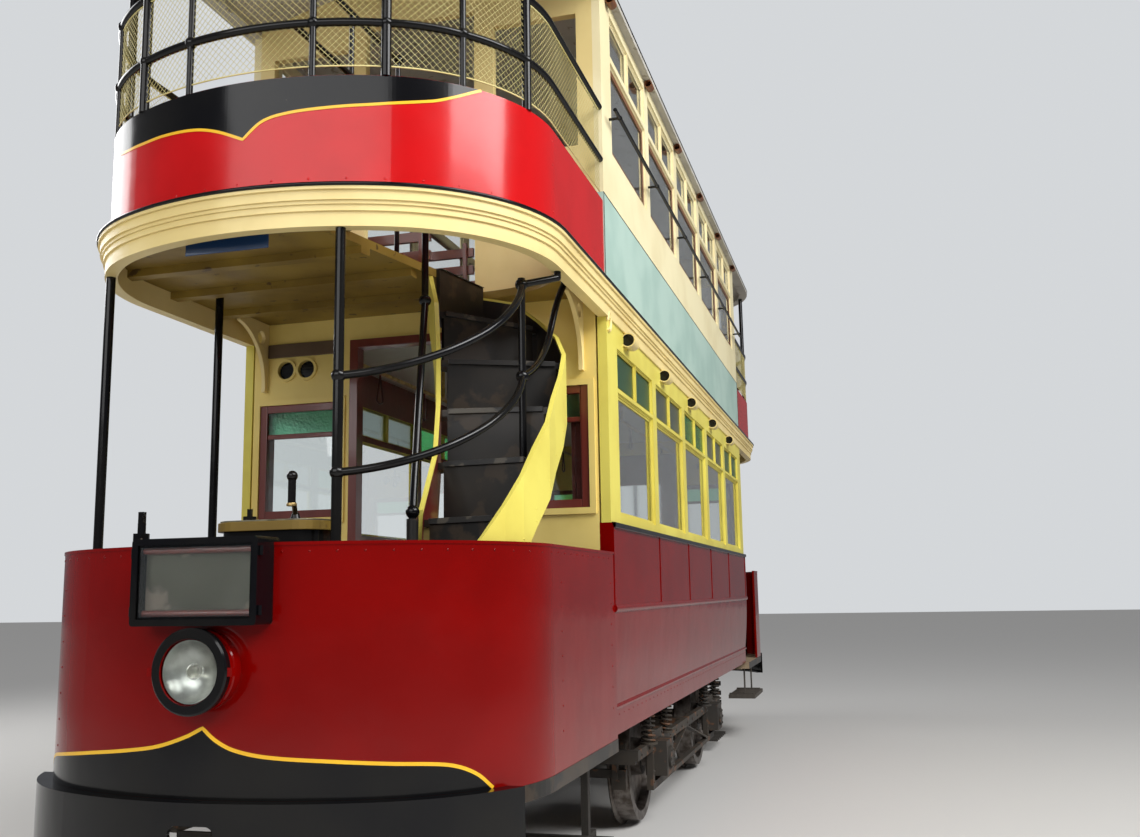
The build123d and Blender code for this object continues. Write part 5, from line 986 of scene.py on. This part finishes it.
# Blank plate under the canopy, on two straps
PLATE_BACK_Y = -4.550
boxes("canopy_plates", PLATE_BLUE, [((-0.310, PLATE_BACK_Y - 0.006, 2.838), (0.070, PLATE_BACK_Y, 2.930))],
      ends=True, bevel=0.004)
boxes("plate_straps", GLOSS_BLACK,
      [((x - 0.010, PLATE_BACK_Y, 2.86), (x + 0.010, PLATE_BACK_Y + 0.004, 2.985)) for x in (-0.26, 0.02)],
      ends=True)

# Saloon doors: beads, panes and brass handles, riding on each door
DOOR_LIGHT_HALF = 0.259
DOOR_LIGHT_Z = (1.751, 2.559)
DOOR_PANEL_Z = (1.011, 1.639)
HANDLE_REACH = 0.040


def dress_door(end, inward):
    """Dress a door; inward is the sign of Y towards the saloon, where its one handle is."""
    low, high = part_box("saloon_door_" + end)
    middle_x, middle_y = (low.x + high.x) / 2, (low.y + high.y) / 2
    left, right = middle_x - DOOR_LIGHT_HALF, middle_x + DOOR_LIGHT_HALF
    body = end + "_door"
    beads = Shape()
    for face, into in ((low.y, 1), (high.y, -1)):
        near, far = sorted((face - into * 0.003, face + into * 0.012))
        for (low_z, high_z), width in ((DOOR_LIGHT_Z, 0.022), (DOOR_PANEL_Z, 0.018)):
            beads.frame((left, near, low_z), (right, far, high_z), width)
    beads.piece("door_beads_" + end, [MAROON_WOOD], body=body, bevel=0.003)
    pane = ((left, middle_y - 0.002, DOOR_LIGHT_Z[0]), (right, middle_y + 0.002, DOOR_LIGHT_Z[1]))
    boxes("door_pane_" + end, WINDOW_GLASS, [pane], body=body)
    x, face = middle_x - inward * 0.315, high.y if inward > 0 else low.y
    grip = face + inward * HANDLE_REACH
    handle = [(x, face, 1.62), (x, grip, 1.635), (x, grip, 1.845), (x, face, 1.86)]
    wires("door_handle_" + end, [handle], 0.009, BRASS, sides=10, ends=False, body=body)


dress_door("front", 1)
dress_door("rear", -1)

# Side and upper windows: beads or wooden sashes round the panes
OPENING_HALF = 0.4725
MULLION_HALF = 0.0150


def side_beads(name, inner_x, window_z, light_z, materials, widths=(0.012, 0.012)):
    """Frames round the window and the two lights above it, in every bay; slot 0 is the window's."""
    shape = Shape()
    frames = ((-OPENING_HALF, OPENING_HALF, window_z, 0), (-OPENING_HALF, -MULLION_HALF, light_z, 1),
              (MULLION_HALF, OPENING_HALF, light_z, 1))
    for side in (-1, 1):
        near, far = sorted((side * inner_x, side * (inner_x + 0.006)))
        for place in BAY_PLACES:
            for low_y, high_y, (low_z, high_z), slot in frames:
                low, high = (near, place + low_y, low_z), (far, place + high_y, high_z)
                shape.frame(low, high, widths[slot], slot, along=1)
    shape.piece(name, materials, bevel=0.0015)


side_beads("lower_window_beads", 1.0305, (1.865, 2.500), (2.545, 2.740), [PRIMROSE, PRIMROSE])
side_beads("upper_window_beads", 1.0335, (3.865, 4.385), (4.445, 4.670), [SASH_WOOD, PALE_CREAM],
           widths=(0.030, 0.012))

# Upper sides: black line round each long panel and along the gutter, brown scoops below the gutter
GUTTER_OUT = 0.035
GUTTER_Z = 4.778
panel_low, panel_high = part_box("upper_panels")
x = panel_high.x
panel_runs = [[(x, panel_low.y, z), (x, panel_high.y, z)]
              for z in (panel_low.z + 0.003, panel_high.z - 0.003)]
panel_runs += [[(x, y, panel_low.z + 0.004), (x, y, panel_high.z - 0.004)]
               for y in (panel_low.y + 0.003, panel_high.y - 0.003)]
wires("panel_edges", panel_runs, 0.0028, GLOSS_BLACK, sides=6)
gutter_path = EndPath(CANOPY_PLAN, -GUTTER_OUT, 0)
wires("gutter_lines", [gutter_path.level_run(140, GUTTER_Z)], 0.005, GLOSS_BLACK)
scoops = Shape()
for post in range(6):
    for x in (-1.083, 1.083):
        scoops.lathe((x, (post - 2.5) * BAY_PITCH, 4.718),
                     [(0.045, 0.021), (0.045, 0.026), (-0.030, 0.026), (-0.030, 0.0005), (-0.020, 0.0005),
                      (-0.020, 0.021)], 24)
scoops.piece("gutter_scoops", [SASH_WOOD], smooth=True)

# Controllers: aged cap with a brass collar
CAP_CENTRE = (0.095, DASH_Y + 0.335)
CAP_TOP_Z = 1.7520
caps = Shape()
caps.pad(CAP_CENTRE, (0.446, 0.266), 0.092, 1.7452, CAP_TOP_Z)
caps.pad(CAP_CENTRE, (0.462, 0.282), 0.100, 1.7100, 1.7455, slot=1)
for shift_x, shift_y, low_z, height, radius, sides in ((0.065, 0, CAP_TOP_Z, 0.005, 0.050, 32),
                                                       (-0.135, 0, CAP_TOP_Z, 0.006, 0.036, 32),
                                                       (0.110, -0.110, 1.800, 0.012, 0.0195, 24)):
    x, y = CAP_CENTRE[0] + shift_x, CAP_CENTRE[1] + shift_y
    caps.rod((x, y, low_z), (x, y, low_z + height), radius, slot=2, sides=sides)
# The lower pad takes the cream that is darkened as painted shade under the canopy
caps.piece("controller_caps", [AGED_BRASS, SHADE_DARKENED_CREAM, BRASS], ends=True, bevel=0.002)

# Slatted platform floors
SLAT_BACK_Y = -2.92
SLAT_FRONT_Y = -4.26
slats = [(-0.86 + step * 0.060, (SLAT_FRONT_Y + SLAT_BACK_Y) / 2, PLATFORM_Z + 0.004) for step in range(19)]
slat_size = Vector((0.042, SLAT_BACK_Y - SLAT_FRONT_Y, 0.0085))
grow("platform_slats", SLATS, {"Size": slat_size, "Material": STEP_WOOD}, slats + half_turned(slats))

# Maroon casings round the saloon doorways and maroon linings inside the lower saloon
CASING_FRONT_Y = BULKHEAD_FACE_Y - 0.004
SALOON_Y = END_Y + 0.062
jambs = [((side * 0.352, CASING_FRONT_Y, 0.905), (side * 0.400, SALOON_Y, 2.818)) for side in (-1, 1)]
boxes("doorway_casings", MAROON_WOOD, [*jambs, ((-0.400, CASING_FRONT_Y, 2.812), (0.400, SALOON_Y, 2.858))],
      ends=True, bevel=0.003)
CEILING_Z = 2.984
WINDOW_LEVELS = (1.805, 1.862, 2.503, 2.542, 2.743, CEILING_Z)
edges = [SALOON_Y] + [place + reach for place in BAY_PLACES for reach in (-0.474, 0.474)] + [-SALOON_Y]
between_bays = list(zip(edges[::2], edges[1::2]))
linings = []
for level, (low_z, high_z) in enumerate(zip(WINDOW_LEVELS, WINDOW_LEVELS[1:])):
    for low_y, high_y in (between_bays if level % 2 else [(SALOON_Y, -SALOON_Y)]):
        linings += [((side * 1.0048, low_y, low_z), (side * 1.0010, high_y, high_z)) for side in (-1, 1)]
boxes("saloon_linings", MAROON_WOOD, linings)

# Lower saloon: passenger rails with straps under the ceiling
RAIL_X = 0.47
RAIL_Z = 2.780
STRAP_LOOP = ((0, 2.766), (-0.034, 2.640), (-0.040, 2.605), (0, 2.588), (0.040, 2.605), (0.034, 2.640),
              (0, 2.766))
rail_runs, strap_runs = [], []
for x in (-RAIL_X, RAIL_X):
    rail_runs.append([(x, y, RAIL_Z) for y in (-2.76, 0, 2.76)])
    rail_runs += [[(x, y, RAIL_Z), (x, y, CEILING_Z)] for y in (-2.70, -1.35, 0, 1.35, 2.70)]
    strap_runs += [[(x, -2.36 + step * 0.675 + out, z) for out, z in STRAP_LOOP] for step in range(8)]
wires("saloon_rails", rail_runs, 0.0125, BRASS, ends=False)
wires("saloon_straps", strap_runs, 0.006, MAROON_PAINT, sides=6, ends=False)

# Cast scrolls on the corner pillars
scroll = [(1.060, END_Y + 0.036 + 0.030 * math.sin(turn), 2.855 + 0.048 * math.cos(turn))
          for turn in (math.pi * part / 12 for part in range(-6, 15))]
wires("pillar_scrolls", [scroll], 0.010, CREAM, sides=10)

# Truck: bolts along the side frames and on the bearing caps
TRUCK_SIDE_X = 0.920
CAP_BOLT_CIRCLE = 0.056
AXLE_Z = 0.415
bolts = []
for side in (-1, 1):
    x, facing = side * TRUCK_SIDE_X, (side, 0, 0)
    for axle in (-AXLE_Y, AXLE_Y):
        bolts += [((x, axle + y, z), facing) for y in (-0.145, 0.145) for z in (0.285, 0.345, 0.475, 0.555)]
        for turn in (math.pi / 3 * part for part in range(6)):
            y, z = axle + CAP_BOLT_CIRCLE * math.cos(turn), AXLE_Z + CAP_BOLT_CIRCLE * math.sin(turn)
            bolts.append(((side * 1.014, y, z), facing))
    bolts += [((x, -1.65 + step * 0.2357, 0.500), facing) for step in range(15)]
rivets("truck_bolts", bolts, IRON, radius=0.012, height=0.009, ends=False)


# Camera at the photograph's place, floor and soft studio light
CAMERA_PLACE = (2.337, -8.335, 1.457)
CAMERA_HEADING = (-0.2633, 0.9647)
CAMERA_PITCH = math.radians(8.96)
CAMERA_ROLL = math.radians(0.993)


def place_camera():
    camera_data = bpy.data.cameras.new("photo_camera")
    camera_data.sensor_width = 36.0
    camera_data.lens = 34.885
    camera_data.clip_start = 0.05
    camera_data.clip_end = 200.0
    camera = add_object("photo_camera", camera_data)
    heading_x, heading_y = CAMERA_HEADING
    level_part = math.cos(CAMERA_PITCH)
    forward = Vector((heading_x * level_part, heading_y * level_part, math.sin(CAMERA_PITCH)))
    level = Vector((heading_y, -heading_x, 0))
    upright = level.cross(forward)
    right = level * math.cos(CAMERA_ROLL) - upright * math.sin(CAMERA_ROLL)
    up = level * math.sin(CAMERA_ROLL) + upright * math.cos(CAMERA_ROLL)
    turn = Matrix((right, up, -forward)).transposed().to_4x4()
    camera.matrix_world = Matrix.Translation(CAMERA_PLACE) @ turn
    bpy.context.scene.camera = camera


def place_light(light_data, place, aim, power):
    light_data.energy = power
    light = add_object(light_data.name, light_data)
    light.location = place
    light.rotation_mode = "QUATERNION"
    light.rotation_quaternion = (Vector(aim) - Vector(place)).to_track_quat("-Z", "Y")


def soft_light(name, place, aim, size, power):
    light_data = bpy.data.lights.new(name, "AREA")
    light_data.shape = "RECTANGLE"
    light_data.size, light_data.size_y = size
    place_light(light_data, place, aim, power)


def even_light(name, place, aim, strength, softness):
    """A broad even light from far away."""
    light_data = bpy.data.lights.new(name, "SUN")
    light_data.angle = softness
    place_light(light_data, place, aim, strength)


def lay_floor():
    floor_data = bpy.data.meshes.new("floor")
    reach = 60.0
    floor_data.from_pydata([(-reach, -reach, 0), (reach, -reach, 0), (reach, reach, 0), (-reach, reach, 0)],
                           [], [(0, 1, 2, 3)])
    material, _, shader = start_material("floor_pale", 0.7)
    shader.inputs["Base Color"].default_value = (0.60, 0.59, 0.57, 1)
    floor_data.materials.append(material)
    floor = add_object("floor", floor_data)
    floor.location.z = cad_low.z


def hang_backdrop():
    """A pale backdrop that is seen, and through glass too, but lights and mirrors only dimly."""
    world = bpy.data.worlds.new("studio")
    world.use_nodes = True
    tree = world.node_tree
    dim = tree.nodes["Background"]
    feed(tree, dim, {"Color": (0.90, 0.93, 1.0, 1), "Strength": 0.16})
    pale = add_node(tree, "ShaderNodeBackground", {"Color": (0.66, 0.68, 0.70, 1), "Strength": 1.0})
    ray = add_node(tree, "ShaderNodeLightPath", {}).outputs
    seen = add_node(tree, "ShaderNodeMath", {0: ray["Is Camera Ray"], 1: ray["Is Transmission Ray"]},
                    operation="MAXIMUM")
    both = add_node(tree, "ShaderNodeMixShader", {0: seen.outputs["Value"], 1: dim.outputs["Background"],
                                                  2: pale.outputs["Background"]})
    feed(tree, tree.nodes["World Output"], {"Surface": both.outputs["Shader"]})
    bpy.context.scene.world = world


place_camera()
lay_floor()
hang_backdrop()
bpy.context.scene.view_settings.view_transform = "Standard"
soft_light("key", (8.0, -5.0, 8.0), (0.6, -2.0, 2.5), (6.0, 4.0), 900)
even_light("key_sun", (9.0, -6.0, 11.0), (0.0, 0.0, 0.0), 1.3, 0.6)
soft_light("front_fill", (-1.0, -13.0, 6.0), (0, -4.0, 2.2), (10.0, 5.0), 520)
soft_light("far_side", (-9.0, 0.0, 7.0), (0, 0, 2.0), (8.0, 4.0), 500)
